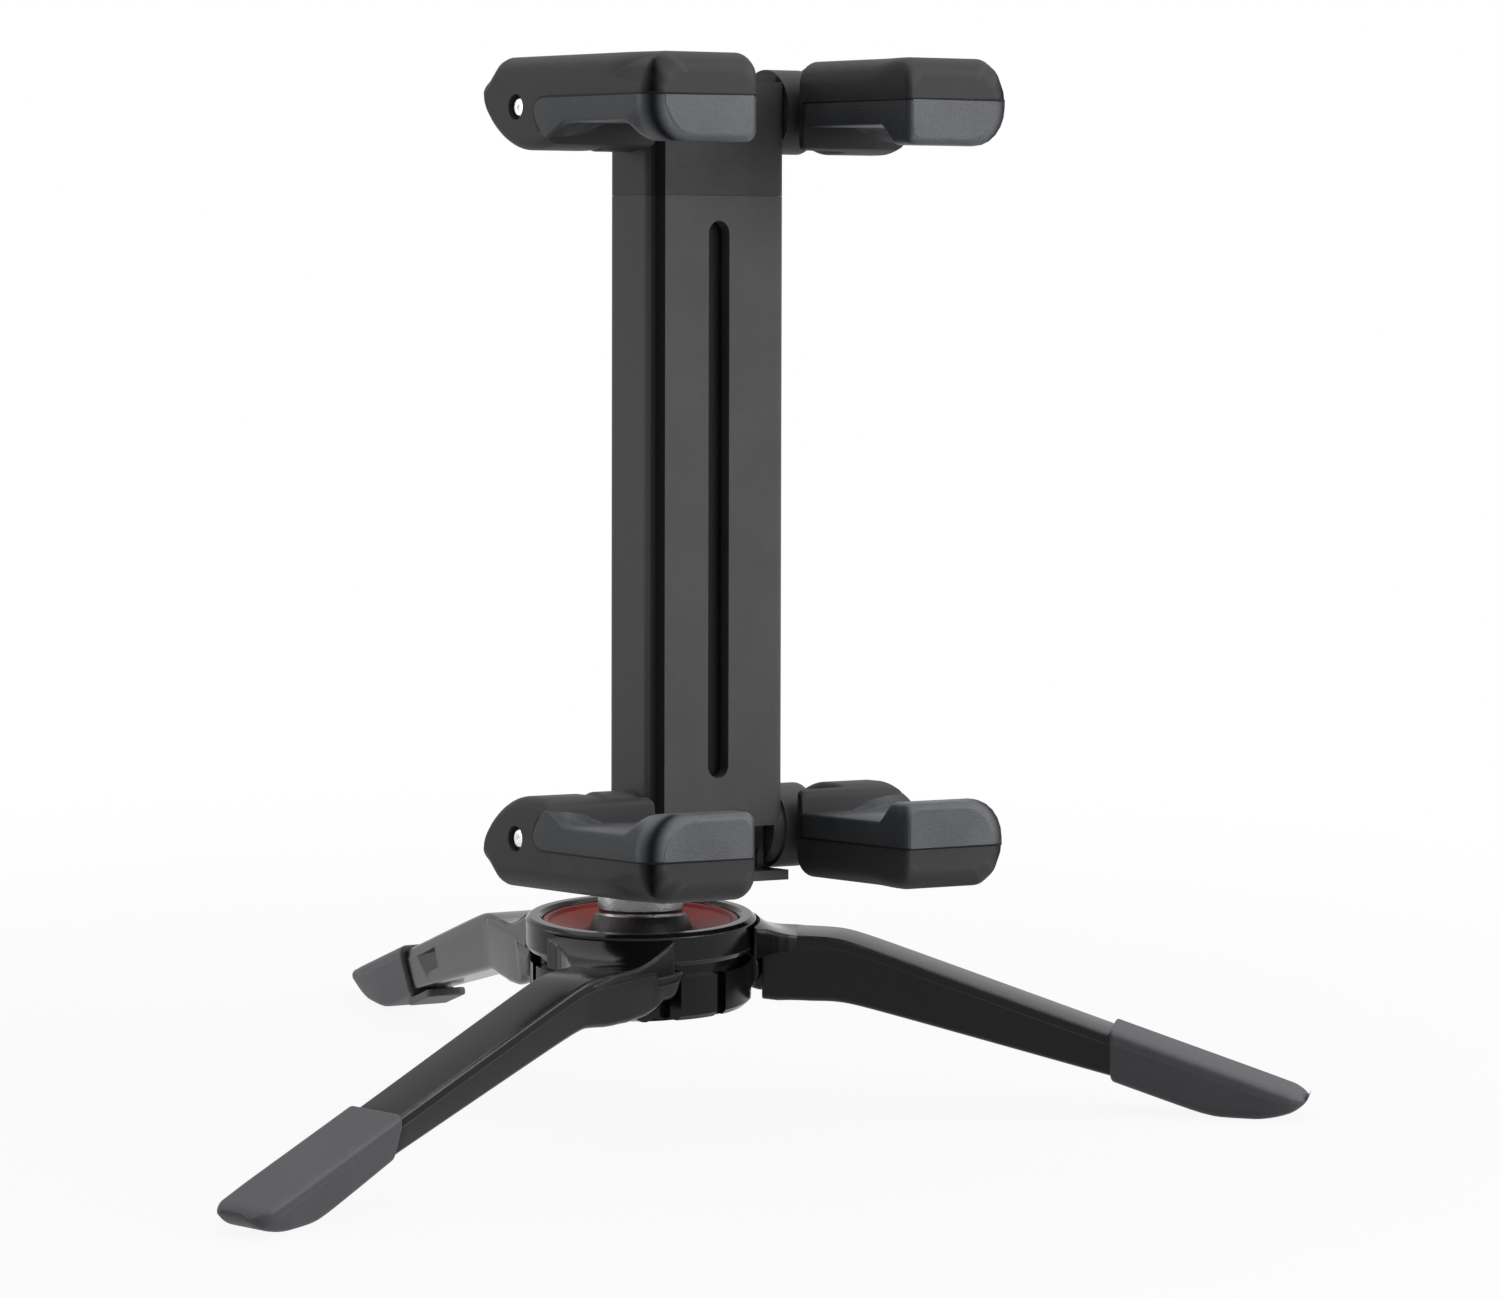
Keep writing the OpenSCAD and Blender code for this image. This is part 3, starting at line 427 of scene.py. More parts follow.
def scaled(colour, share):
    """A colour times a share."""
    return tuple(c * share for c in colour)


def finish(name, colour, roughness, bump=0.1, mottle=0.12, wear_and_sheen=0.0, wear_and_sheen_colour=None, dust=0.0, fine=9000.0,
           coarse=2600.0, metallic=0.0, rough_span=0.08, specular=0.5, band=None):
    """One material: a base colour mottled by the grain, with edges lightened by wear and painted highlight, a little
    dust and a grained surface.

    It is dark and dull, as painted shade, where the piece's own shade attribute says so, and where the mask made by
    band does."""
    mat = bpy.data.materials.new(name)
    mat.use_nodes = True
    tree = mat.node_tree
    tree.nodes.clear()
    shader = tree.nodes.new("ShaderNodeBsdfPrincipled")
    feed(tree, shader.outputs[0], tree.nodes.new("ShaderNodeOutputMaterial").inputs[0])
    grain = use_group(tree, GRAIN, Fine=fine, Coarse=coarse)
    tone = tree.nodes.new("ShaderNodeValToRGB")
    low, high = tone.color_ramp.elements
    low.position, high.position = 0.3, 0.7
    low.color, high.color = (*scaled(colour, 1 - mottle), 1), (*scaled(colour, 1 + mottle), 1)
    feed(tree, grain["Mottle"], tone.inputs[0])

    # Painted shade: the shade attribute darkens the colour towards 0.12 of itself.
    darkened = own_value(tree, "shade")
    layers = [(darkened, scaled(colour, 0.12))]
    if dust:
        layers.insert(0, (use_group(tree, DUST, Amount=dust)["Mask"], DUST_COLOUR))
    # Lighter edges from the edge attribute: wear and painted highlight.
    if wear_and_sheen:
        layers.insert(0, (use_group(tree, WEAR_AND_SHEEN, Amount=wear_and_sheen)["Mask"], wear_and_sheen_colour or scaled(colour, 2.2)))
    # Painted shade: the band's mask darkens the colour to 0.08 of itself.
    if band:
        darkened = band(tree)
        layers.append((darkened, scaled(colour, 0.08)))
    last = tone.outputs[0]
    for mask, tint in layers:
        mix = tree.nodes.new("ShaderNodeMix")
        mix.data_type = "RGBA"
        feed(tree, mask, mix.inputs["Factor"])
        feed(tree, last, mix.inputs["A"])
        mix.inputs["B"].default_value = (*tint, 1)
        last = mix.outputs["Result"]

    dent = tree.nodes.new("ShaderNodeBump")
    dent.inputs["Strength"].default_value, dent.inputs["Distance"].default_value = bump, 0.0001
    feed(tree, grain["Height"], dent.inputs["Height"])
    rough = range_node(tree, grain["Mottle"], (0, 1), (roughness - rough_span, roughness + rough_span))
    # Painted shade also takes the specular down to a tenth.
    dulled = range_node(tree, darkened, (0, 1), (specular, specular * 0.1))
    for label, value in (("Base Color", last), ("Roughness", rough), ("Normal", dent.outputs[0]),
                         ("Metallic", metallic), ("Specular IOR Level", dulled)):
        feed(tree, value, shader.inputs[label])
    return mat


def column_edge_shade(tree):
    """Painted shade down the column's front left edge: a dark band, made as a mask across and into the leaning column.
    """
    origin, across, back = leaned(np.array([[0.0, 0, BALL_Z], [1.0, 0, BALL_Z], [0.0, 1, BALL_Z]]))
    point = vector_node(tree, "SUBTRACT", coordinate(tree), tuple((origin + HUB) * MM))
    x, y = (vector_node(tree, "DOT_PRODUCT", point, tuple(axis - origin)) for axis in (across, back))
    soft = range_node(tree, x, (-6.62 * MM, -5.9 * MM), (0.35, 1.0), "SMOOTHSTEP")
    left = math_node(tree, "LESS_THAN", x, -5.2 * MM)
    front = math_node(tree, "LESS_THAN", y, (COL_Y - 2.75) * MM)
    return math_node(tree, "MULTIPLY", math_node(tree, "MULTIPLY", left, front), soft)


charcoal = finish("charcoal_plastic", (0.054, 0.054, 0.055), 0.5, bump=0.28, wear_and_sheen=0.2, dust=0.02, coarse=3200,
                  specular=0.15)
head_charcoal = finish("head_charcoal", (0.034, 0.034, 0.035), 0.5, bump=0.4, mottle=0.3, wear_and_sheen=0.2, dust=0.03,
                       coarse=3200, specular=0.15, band=column_edge_shade)
column_charcoal = finish("column_charcoal", (0.056, 0.056, 0.057), 0.5, bump=0.28, wear_and_sheen=0.2, dust=0.02, coarse=3200,
                         specular=0.15, band=column_edge_shade)
shell_plastic = finish("shell_plastic", (0.034, 0.034, 0.035), 0.52, bump=0.2, wear_and_sheen=0.3, dust=0.02, specular=0.13)
pad_rubber = finish("pad_rubber", (0.080, 0.084, 0.092), 0.46, bump=0.6, mottle=0.2, wear_and_sheen=0.2, dust=0.03, fine=7000,
                    coarse=2000, specular=0.25)
foot_rubber = finish("foot_rubber", (0.060, 0.061, 0.068), 0.5, bump=0.42, wear_and_sheen=0.25, dust=0.03, fine=7000,
                     coarse=2000, specular=0.25)
gloss_black = finish("gloss_black", (0.006, 0.006, 0.0065), 0.16, bump=0.03, mottle=0.2, wear_and_sheen=0.3,
                     wear_and_sheen_colour=(0.12, 0.12, 0.12), rough_span=0.04, specular=0.18)
leg_black = finish("leg_black", (0.006, 0.006, 0.0065), 0.2, bump=0.05, mottle=0.2, wear_and_sheen=0.35,
                   wear_and_sheen_colour=(0.16, 0.16, 0.16), rough_span=0.05, specular=0.2)
rim_black = finish("rim_black", (0.006, 0.006, 0.0065), 0.14, bump=0.03, mottle=0.15, wear_and_sheen=0.3,
                   wear_and_sheen_colour=(0.2, 0.2, 0.2), rough_span=0.04, specular=0.22)
dark_red = finish("dark_red", (0.25, 0.036, 0.030), 0.36, bump=0.1, mottle=0.25, wear_and_sheen=0.4,
                  wear_and_sheen_colour=(0.5, 0.14, 0.11), specular=0.08)
satin_steel = finish("satin_steel", (0.26, 0.26, 0.26), 0.34, bump=0.5, mottle=0.3, metallic=1.0, fine=5200,
                     coarse=1500)
dome_steel = finish("dome_steel", (0.048, 0.045, 0.045), 0.45, bump=0.6, mottle=0.3, metallic=0.6, fine=5200,
                    coarse=1500, specular=0.2)
dark_steel = finish("dark_steel", (0.08, 0.08, 0.08), 0.4, bump=0.3, mottle=0.2, metallic=1.0, fine=5200, coarse=1500)
bright_steel = finish("bright_steel", (0.68, 0.67, 0.65), 0.22, bump=0.12, mottle=0.1, metallic=1.0, fine=3200,
                      coarse=900)
seat_nylon = finish("seat_nylon", (0.7, 0.7, 0.66), 0.45)
black_wire = finish("black_wire", (0.012, 0.012, 0.012), 0.55, metallic=0.6)
black_plastic = finish("black_plastic", (0.007, 0.007, 0.0075), 0.5, bump=0.25, specular=0.1)

# Painted shade: the near black of slide_frame, column_foot and the springs keeps the slot dark.
NODE_FINISH = {
    column_charcoal: ["column_shell"],
    head_charcoal: ["upper_head"],
    charcoal: ["back_cover"],
    black_plastic: ["head_cap", "slide_frame", "column_foot", "base_cap"],
    bright_steel: ["lower_pin", "upper_pin", "leg_pin_right", "leg_pin_back", "leg_pin_left", "cover_screws",
                   "head_screws", "spring_washer"],
    black_wire: ["spring_left", "spring_right"],
    dark_steel: ["tripod_tab"],
    seat_nylon: ["pan_seat", "tilt_seat"],
    gloss_black: ["hub_body"],
}
for material, names in NODE_FINISH.items():
    for name in names:
        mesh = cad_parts[name].data
        mesh.materials.clear()
        mesh.materials.append(material)


# ---------------------------------------------------------------- arms and pads

def hook_sides(y):
    """The arm's inner and outer faces beside each place along it, both drawn in round the hook's front."""
    front = y + ARM_REACH
    return ARM_IN + round_off(front, HOOK_R_IN), ARM_OUT - round_off(front, HOOK_R)


def arm_shell():
    """The hard shell, a round-cornered section carried from the hook's front to the ear's rear.

    Along the arm (y from the pin) the section's sides are: inner x the arm's inner face, stepping out to the ear
    behind the barrel's room; top z the parting line, stepping up to the ear and falling as a quarter ellipse;
    bottom z level, rising on a straight chamfer at the rear. The ends draw in by round_off."""
    y = stations(round_stations(-ARM_REACH, 1.5, 14), (-17.2, -5.2, 14), (-5.2, -4.4, 12), (-4.4, -3.7, 14),
                 (-3.7, 3.1, 24), round_stations(ARM_BACK, -2.2, 30))
    front, rear = y + ARM_REACH, ARM_BACK - y
    x0, x1 = hook_sides(y)
    x1 = x1 - round_off(rear, 1.0)
    x0 = x0 + (EAR_IN - x0) * smooth((y + 4.0) / 0.25)
    chamfer = np.clip((y - (ARM_BACK - 2.3)) / 2.3, 0, 1)
    z0 = -ARM_DROP + round_off(front, 1.6) + chamfer * (ARM_DROP - EAR_BASE)
    past_top = np.clip(y + 1, 0, None) / (ARM_BACK + 1)
    ear = -EAR_BASE + (EAR_RISE + EAR_BASE) * np.clip(1 - past_top ** 1.8, 0, 1) ** (1 / 1.8)
    ear = ear - 0.5 * np.clip((-2.2 - y) / 2.4, 0, 1) ** 2
    z1 = -PARTING + (ear + PARTING) * smooth((y + 5.0) / 0.5)
    z1 = np.maximum(z1, z0 + 0.05)
    tip = 1 - smooth((y + 16.8) / 4)
    lift = np.minimum(z1 - z0, 3.3) / 3.3
    corners = section((x0, z0), (x1 - 0.3 - 1.7 * tip, z0), (x1 - 0.7 * tip, z0 + (1.7 - 0.75 * tip) * lift),
                      (x1 - 0.08 * tip, z0 + (1.85 + 0.7 * tip) * lift), (x1, z1), (x0, z1))
    high = smooth((y + 5.0) / 0.6)
    radii = np.stack([1.9 - 0.7 * tip, 1.9 - 0.3 * tip, 0.3 + 1.3 * tip, 0.2 + 1.2 * tip,
                      0.06 + 0.9 * high, 0.06 + 0.4 * high], -1)
    return swept(corners, radii, 8, y, 1)


def pivot_boss():
    """The round boss on the ear's inner face: a short cylinder along the pin with a soft edge."""
    p = lathe(round_profile([[0.85, -0.05], [2.2, -0.05], [2.2, 1.3], [0.85, 1.3]], [0, 0.25, 0, 0]), 48, "x")
    p[..., 0] = EAR_IN + 0.1 - p[..., 0]
    return tube(p)


def pad_surface():
    """The rubber: a round-cornered section carried from the hook's front to its round end on the ear.

    Its top z is the lip, with a large radius on the outer side, and a hollow fall to the grip face. Before the ear
    a hollow wall climbs again: at each of six widths across the ear the height eases from the grip face to the
    wall's top over its own stretch, long and early at the outer edge, short and late at the inner one. The rear
    end draws in as an arc from the parting line to the top."""
    y = stations(round_stations(-ARM_REACH - 0.04, 1.5, 16), (-17.25, -14.4, 22), (-14.4, -8, 8), (-8, -3.0, 56),
                 round_stations(-2.6, -0.5, 8))
    front = y + ARM_REACH + 0.04
    x0, x1 = hook_sides(y)
    x1 = x1 + 0.05
    x0 = x0 + (EAR_IN + 0.05 - x0) * smooth((y + 4.05) / 0.25)
    lipped = 1 - smooth((y + 16.4) / 1.5) ** 0.75
    level = PAD_RISE - round_off(front, 0.6) + LIP_H * lipped
    low = np.interp(y, [-4.2, -3.6, -3.0, -2.7, -2.6], [-PARTING, -0.66, -0.42, -0.1, 0.35]) + 0.01
    cap = np.interp(y, [-5.4, -4.8, -4.2, -3.6, -3.0, -2.7, -2.6], [9, 2.75, 2.5, 2.1, 1.45, 0.85, 0.5])
    split = 1 - smooth((y + 14.0) / 0.8)
    wall = []
    for share, start, reach, rise in ((0, -7.4, 3.6, 2.65), (0.04, -7.2, 3.4, 2.65), (0.3, -5.9, 2.0, 2.8),
                                      (0.65, -5.2, 1.2, 3.0), (0.93, -4.75, 0.75, 3.1), (0.985, -4.7, 0.7, 3.1)):
        climb = (rise - PAD_RISE) * smooth((y - start) / reach)
        spread = share * (x1 - EAR_IN) * (1 - split) + (share * 3.0 + 3.2 * (share > 0)) * split
        wall.append((x1 - spread, np.maximum(np.minimum(level + climb, cap), low + 0.1)))
    edge = np.where(split > 0.5, (x0 + x1) / 2 - 2.2, np.maximum(x0, EAR_IN - 0.02))
    floor = np.maximum(np.minimum(level, cap), low + 0.1)
    wall.append((np.minimum(edge, wall[-1][0] - 0.04), floor))
    corners = section((x0, low), (x1, low), *wall, (x0, floor))
    outer = 0.3 + (1.9 + 1.0 * (1 - smooth((y + 18.7) / 3.2))) * split * lipped
    radii = [np.full_like(y, radius) for radius in (0.072, 0.072, 0, 0.06, 0.96, 0.96, 0.24, 0.12, 0.18, 0)]
    radii[2], radii[-1] = outer, 0.25 + 0.65 * lipped
    return swept(corners, np.stack(radii, -1), 7, y, 1)


def seam_line(path, normal, radius):
    """A thin half-sunk bead along a path (n, 3): a ring of eight points in the plane of normal and normal x tangent."""
    tangent = np.gradient(path, axis=0)
    tangent /= np.linalg.norm(tangent, axis=1)[:, None]
    aside = np.cross(normal, tangent)
    aside /= np.maximum(np.linalg.norm(aside, axis=1), 1e-9)[:, None]
    t = np.linspace(0, 2 * math.pi, 8, endpoint=False)[None, :, None]
    return tube(path[:, None] + radius * (np.cos(t) * normal[:, None] * 0.6 + np.sin(t) * aside[:, None]))


def parting_seam():
    """The dark seam between shell and rubber: up round the rubber's end on the ear, along the outer side, round the
    hook's front and back along the inner side."""
    arc = np.array([[-3.45, 1.9], [-3.0, 1.45], [-2.7, 0.85], [-2.58, 0.4], [-2.7, -0.1],
                    [-3.0, -0.42], [-3.6, -0.66], [-4.2, -PARTING]])
    y_out = np.concatenate([np.linspace(-4.6, -17.2, 24), round_stations(-ARM_REACH, 1.5, 12)[::-1][1:]])
    y_in = np.concatenate([round_stations(-ARM_REACH, 1.2, 12), np.linspace(-17.4, -4.4, 16)])
    x_out, x_in = hook_sides(y_out)[1], hook_sides(y_in)[0]
    x = np.concatenate([np.full(len(arc), ARM_OUT), x_out, x_in[1:]])
    y = np.concatenate([arc[:, 0], y_out, y_in[1:]])
    z = np.concatenate([arc[:, 1], np.full(len(y_out) + len(y_in) - 1, -PARTING)])
    path = np.stack([x, y, z], -1)
    normal = np.cross(np.gradient(path, axis=0), [0.0, 0.0, 1.0])
    normal[:len(arc) + 1] = [1.0, 0.0, 0.0]
    normal /= np.maximum(np.linalg.norm(normal, axis=1), 1e-9)[:, None]
    inwards = normal[:, 0] * (x - 12.2) + normal[:, 1] * (y + 9) < 0
    return seam_line(path, normal * np.where(inwards, -1, 1)[:, None], 0.1)


def pin_tip():
    """The pin's riveted end in its hole: a turned disc with a crowned face and a small centre dimple."""
    profile = round_profile([[0.9, ARM_OUT - 0.8], [0.9, ARM_OUT - 0.42], [0.62, ARM_OUT - 0.26],
                             [0.22, ARM_OUT - 0.25], [0.02, ARM_OUT - 0.4]], [0, 0.15, 0.2, 0.05, 0])
    return tube(lathe(profile, 48, "x"))


def pin_hole():
    """The hole that the pin's end lies in."""
    return tube(lathe([[1.02, ARM_OUT - 0.7], [1.02, ARM_OUT + 1.0]], 48, "x"))


def inner_wall(p):
    """1 on the arm's inner face, falling to 0 just outside it: the mask for the painted shade on that face."""
    return 1 - smooth((p[:, 0] - ARM_IN - 0.25) / 0.3)


def edge_shade(p):
    """Painted shade: a dark stripe down the hook's outer front edge, a bell round the middle of the rounded edge, and a
    lighter one over the arm's inner face.
    """
    rise = np.clip(p[:, 2] - 0.1, 0, 2.8)
    corner = ARM_OUT - HOOK_R - (3.0 - np.sqrt(9.0 - rise ** 2))
    turn = np.degrees(np.arctan2(-(p[:, 1] + ARM_REACH - HOOK_R), p[:, 0] - corner))
    on = (p[:, 0] > corner) & (p[:, 1] < -ARM_REACH + HOOK_R)
    return np.maximum(on * np.exp(-((turn - 50) / 26) ** 2), 0.3 * inner_wall(p))


def rubber_shade(p):
    """Painted shade on the rubber: the edge's stripe, and a darker, duller tone down the sides and over the ear's
    slope, most in the slope's moon.

    Each is 0 where the rubber is clear, and the largest of them counts."""
    side = 0.5 * smooth((p[:, 0] - ARM_OUT + 1.2) / 1.1) * smooth((p[:, 1] + 17.6) / 0.8)
    moon = np.hypot((p[:, 0] - 12.6) / 3.2, (p[:, 1] + 5.6) / 1.9)
    ear = 0.25 * smooth((p[:, 1] + 9.0) / 3.0) + 0.35 * (1 - smooth((moon - 0.85) / 0.25)) * (p[:, 2] > PAD_RISE + 0.1)
    return np.maximum.reduce([edge_shade(p), 0.65 * inner_wall(p), side, ear])


for side, side_name in ((-1, "left"), (1, "right")):
    for level, level_name in ((-1, "lower"), (1, "upper")):
        end, body, place = f"{level_name}_{side_name}", f"{level_name}_{side_name}_arm", arm_frame(side, level)
        shell = piece(f"shell_{end}", arm_shell(), place, shell_plastic, body, [f"arm_{end}"],
                      edge_shade)
        carve(shell, place, pin_hole())
        piece(f"boss_{end}", pivot_boss(), place, shell_plastic, body)
        piece(f"pin_tip_{end}", pin_tip(), place, bright_steel, body)
        piece(f"seam_{end}", parting_seam(), place, black_plastic, body)
        piece(f"rubber_{end}", pad_surface(), place, pad_rubber, body, [f"pad_{end}"], rubber_shade)


# ---------------------------------------------------------------- legs and feet

def leg_top(s):
    """Height of a leg's upper face: level, then falling at the slope, with a soft bend.

    The bend is the mean of the line and its smooth root."""
    d = s - BEND_S
    return LEG_TOP - SLOPE * (d + np.sqrt(d * d + 1.6)) / 2


def wedge(keels, sides, bottom, top, depth):
    """A section narrow below and wide above: keels and sides are (far, near), and the sides stand for depth."""
    return section((keels[0], bottom), (keels[1], bottom), (sides[1], top - depth), (sides[1], top),
                   (sides[0], top), (sides[0], top - depth))


def leg_bar(deep):
    """The bar: a wedge section, wide above and narrow below, carried from the cheek in the hub to inside the foot.

    The cheek is the near part of the same section: its far side steps out to the bar's full width beyond the rim, and
    its lower edge falls as a round paddle from the cheek's end to the bend, where the keel narrows."""
    s = stations(round_stations(CHEEK_S, 2.2, 14), (6.6, 9.3, 8), (9.3, 9.6, 8), (9.6, 16, 18), (16, 20, 10),
                 (20, FOOT_S, 12), (FOOT_S, BAR_END, 6))
    slim = 0.45 * smooth((s - FOOT_S) / 0.4)
    top = leg_top(s) - 1.05 * (1 - smooth((s - 7.5) / 0.3)) - slim
    width = np.interp(s, [7, BEND_S, FOOT_S, BAR_END], [5.0, 5.0, 4.7, 4.4]) / 2 - slim
    keel = np.interp(s, [7, 10, BEND_S, FOOT_S, BAR_END], [4.6, 4.5, 4.1, 3.4, 3.1]) / 2 - slim * 0.5
    left = CHEEK_SIDE - (CHEEK_SIDE + width) * smooth((s - 9.3) / 0.2)
    beyond = leg_top(s) - np.interp(s, [12, BEND_S, FOOT_S, BAR_END], [*deep, 2.2])
    paddle = np.interp(s, [4.4, 4.6, 5.0, 5.7, 6.6, 7.5, 8.5, 10.8, 13],
                       [12.4, 11.7, 10.95, 10.2, 9.55, 9.1, 8.8, 8.6, 8.75])
    paddle = paddle + 1.1 * (DEEPEST - deep[0]) * smooth((s - 4.6) / 2)
    bottom = paddle + (beyond - paddle) * smooth((s - 11) / 3)
    bottom = np.minimum(np.maximum(bottom + slim * 2, 0.9), top - 0.4)
    far_keel = np.where(s < 9.4, left + 0.1, -keel)
    corners = wedge((far_keel, keel), (left, width), bottom, top, np.minimum(0.9, (top - bottom) * 0.4))
    return swept(corners, np.array([0.5, 0.5, 0.6, 0.3, 0.3, 0.6]), 6, s, 0)


def leg_flare():
    """The plate that widens the shoulder, follows the rim round and climbs to it.

    For each bearing from the hub's axis the plate runs from the rim's clearance out to a hollow curve, or to the bar's
    near side. Its top is the bar's own height, climbs as a parabola of the distance to the rim, and sinks smoothly
    into the bar before the bend; its outer edge is rounded."""
    degrees = np.concatenate([np.linspace(-9, 24, 60), np.linspace(24.8, 56.3, 60)])
    c, s = np.cos(np.radians(degrees)), np.sin(np.radians(degrees))
    near_side = (LEG_OFFSET + LEG_W / 2 + 0.02) / np.maximum(s, 1e-3)
    hollow = np.interp(degrees, [-9, -5, 0, 4, 8, 12, 16, 20, 24],
                       [9.95, 10.1, 10.35, 10.7, 11.25, 12.1, 13.4, 15.3, 17.6])
    outer = np.maximum(np.minimum(np.where(degrees > 24.4, FLARE_OUT, hollow), near_side), FLARE_IN + 0.06)
    # across the plate: its top in 21 steps, the rounded edge in 5, and the underside back in 3
    share = np.concatenate([np.linspace(0, 1, 22) ** 1.5, [1, 1, 1, 1, 0.97, 0.5, 0]])
    under = np.concatenate([np.zeros(26), [1, 1, 1]])
    inset = np.concatenate([np.zeros(21), [-0.22, -0.12, -0.04, 0, 0, 0, 0, 0]])
    fall = np.concatenate([np.zeros(21), [0, -0.03, -0.1, -0.22, -0.4, 0, 0, 0]])
    edge_share = np.concatenate([np.zeros(21), [0.3, 0.8, 1, 0.8, 0.3, 0, 0, 0]])
    span = (outer - FLARE_IN)[:, None]
    full = np.minimum(span / 0.4, 1)
    r = FLARE_IN + span * share + full * inset
    climb = 1.5 * np.clip(1 - (r - FLARE_IN) / 3.6, 0, 1) ** 2
    along = r * c[:, None]
    z = leg_top(along) + 0.01 + np.where(under > 0, -FLARE_T, climb + full * fall)
    z = z - 0.35 * smooth((along - 11.5) / 3.5)
    return tube(np.stack([along, r * s[:, None] - LEG_OFFSET, z], -1), edge_share)


def knuckle():
    """The root that turns in the hub: a round bar along the pin."""
    bar = round_profile([[0.02, -2.5], [KNUCKLE_R, -2.5], [KNUCKLE_R, 1.2], [0.02, 1.2]], [0, 0.2, 0, 0])
    p = lathe(bar, 64)
    return tube(np.stack([p[..., 0] + PIN_S, p[..., 2], p[..., 1] + PIN_Z], -1))


def foot_surface(deep, grow):
    """The rubber foot: the bar's wedge section a little larger, carried down to a flat sole and round the tip.

    Its top follows the leg a little above it; its underside is the higher of the keel's line and the floor, by a
    smooth root, and near the tip both close on a blunt nose."""
    s = stations(round_stations(SLEEVE_S, 0.3, 8), (FOOT_S, 46.5, 10), (46.5, 49, 12), (49, 52.6, 10),
                 round_stations(TIP_S, -1.6, 20))
    top = LEG_TOP - SLOPE * (s - BEND_S) + SLEEVE_RISE
    keel_line = top - deep - grow * (s - FOOT_S)
    lift = np.clip(s - SOLE_END, 0, None)
    bottom = (keel_line + np.sqrt(keel_line ** 2 + 0.12)) / 2 + 0.06 * lift ** 2 + 0.03 * lift
    nose, lip = round_off(TIP_S - s, 1.6), round_off(s - SLEEVE_S, 0.3)
    bottom, top = bottom + nose * 0.45, top - nose * 0.5
    top = np.maximum(top, bottom + 0.06)
    width = np.interp(s, [FOOT_S, 50, 52.5, TIP_S], [2.8, 2.8, 2.7, 2.15]) - nose * 0.75 - lip
    keel = np.interp(s, [FOOT_S, 47, 50, TIP_S], [1.95, 2.0, 2.05, 1.9]) - nose * 0.75 - lip
    top, bottom = top - lip, bottom + lip
    corners = wedge((-keel, keel), (-width, width), bottom, top, np.minimum(1.0, (top - bottom) * 0.4))
    return swept(corners, np.array([0.8, 0.8, 0.8, 0.55, 0.55, 0.8]), 7, s, 0)


def foot_tongue():
    """The thin tongue that runs back under the back leg: a flat round-ended strip on the slope."""
    length, drop = 5.0, 3.6 + 0.85
    u = stations((-length, -4.4, 8), (-4.4, 0.8, 6))
    half = 1.75 - round_off(u + length, 0.6)
    thick = 0.33 - 0.2 * round_off(u + length, 0.3)
    corners = section((-half, -thick), (half, -thick), (half, thick), (-half, thick))
    ring, edge_share = rounded_sections(corners, np.full(4, 0.2), 5)
    c, s = math.cos(math.atan(SLOPE)), math.sin(math.atan(SLOPE))
    x = FOOT_S + u[:, None] * c + ring[..., 1] * s
    z = LEG_TOP - SLOPE * (FOOT_S - BEND_S) - drop - u[:, None] * s + ring[..., 1] * c
    return tube(np.stack([x, ring[..., 0], z], -1), edge_share)


def side_pocket():
    """The wedge cut out of the back leg's side: its mouth long, its floor short and at the hub's end."""
    rings = []
    for y, length in ((1.55, 1.4), (2.4, 5.2), (3.4, 6.4)):
        s = POCKET_S + np.array([0, length, length, 0])
        rings.append(np.stack([s, np.full(4, y), leg_top(s) - np.array([2.75, 2.75, 1.05, 0.95])], -1))
    return tube(np.array(rings))


for i, (name, deep, foot_deep, grow) in enumerate(LEGS):
    place, body = leg_frame(i), f"{name}_leg"
    foot = foot_surface(foot_deep, grow)
    piece(f"flare_{name}", join(leg_flare(), knuckle()), place, gloss_black, body)
    bar = piece(f"bar_{name}", leg_bar(deep), place, leg_black, body, [f"leg_{name}"])
    if name == "back":
        carve(bar, place, side_pocket())
        foot = join(foot, foot_tongue())
    piece(f"sleeve_{name}", foot, place, foot_rubber, body, [f"foot_{name}"])


# ---------------------------------------------------------------- hub, ball and slot

def rim():
    """The ring round the insert: a rounded square section turned about the hub's axis."""
    corners = section((INSERT_R, RIM_LOW), (RIM_R - 0.25, RIM_LOW), (RIM_R, RIM_LOW + 0.4), (RIM_R, RIM_TOP - 0.3),
                      (RIM_R - 0.35, RIM_TOP), (INSERT_R + 0.3, RIM_TOP), (INSERT_R, RIM_TOP - 0.3))
    ring, edge_share = rounded_sections(corners, np.array([0.05, 0.15, 0.2, 0.15, 0.15, 0.12, 0.12]), 5)
    return hoop(lathe(ring[0], 160), edge_share[0])


def insert():
    """The red insert: a shallow cone down to the ball with a thin upstand at the rim, and three sunk steps in the cone.

    Each step lowers the cone inside a sector of about 25 degrees, with steep but smooth sides."""
    p = lathe(round_profile([[7.97, 14.2], [7.97, 15.85], [7.55, 15.85], [7.35, 15.55], [4.75, 14.75],
                             [4.4, 14.4], [4.4, 14.2]], [0, 0.12, 0.1, 0.15, 0.12, 0, 0]), 240)
    r, degrees = np.hypot(p[..., 0], p[..., 1]), np.linspace(0, 360, 240, endpoint=False)
    for middle in (40, 160, 280):
        off = np.abs((degrees - middle + 180) % 360 - 180)
        step = (1 - smooth((off - 12.5) / 1.2)) * (1 - smooth((r - 6.7) / 0.12))
        p[..., 2] -= step * np.clip(p[..., 2] - 14.8, 0, 2)
    return hoop(p)


def ball():
    """The ball's dome: a sphere's arc turned about the stud."""
    t = np.radians(np.linspace(-56, 30, 44))
    return tube(lathe(np.stack([BALL_R * np.cos(t), BALL_Z + BALL_R * np.sin(t)], -1)))


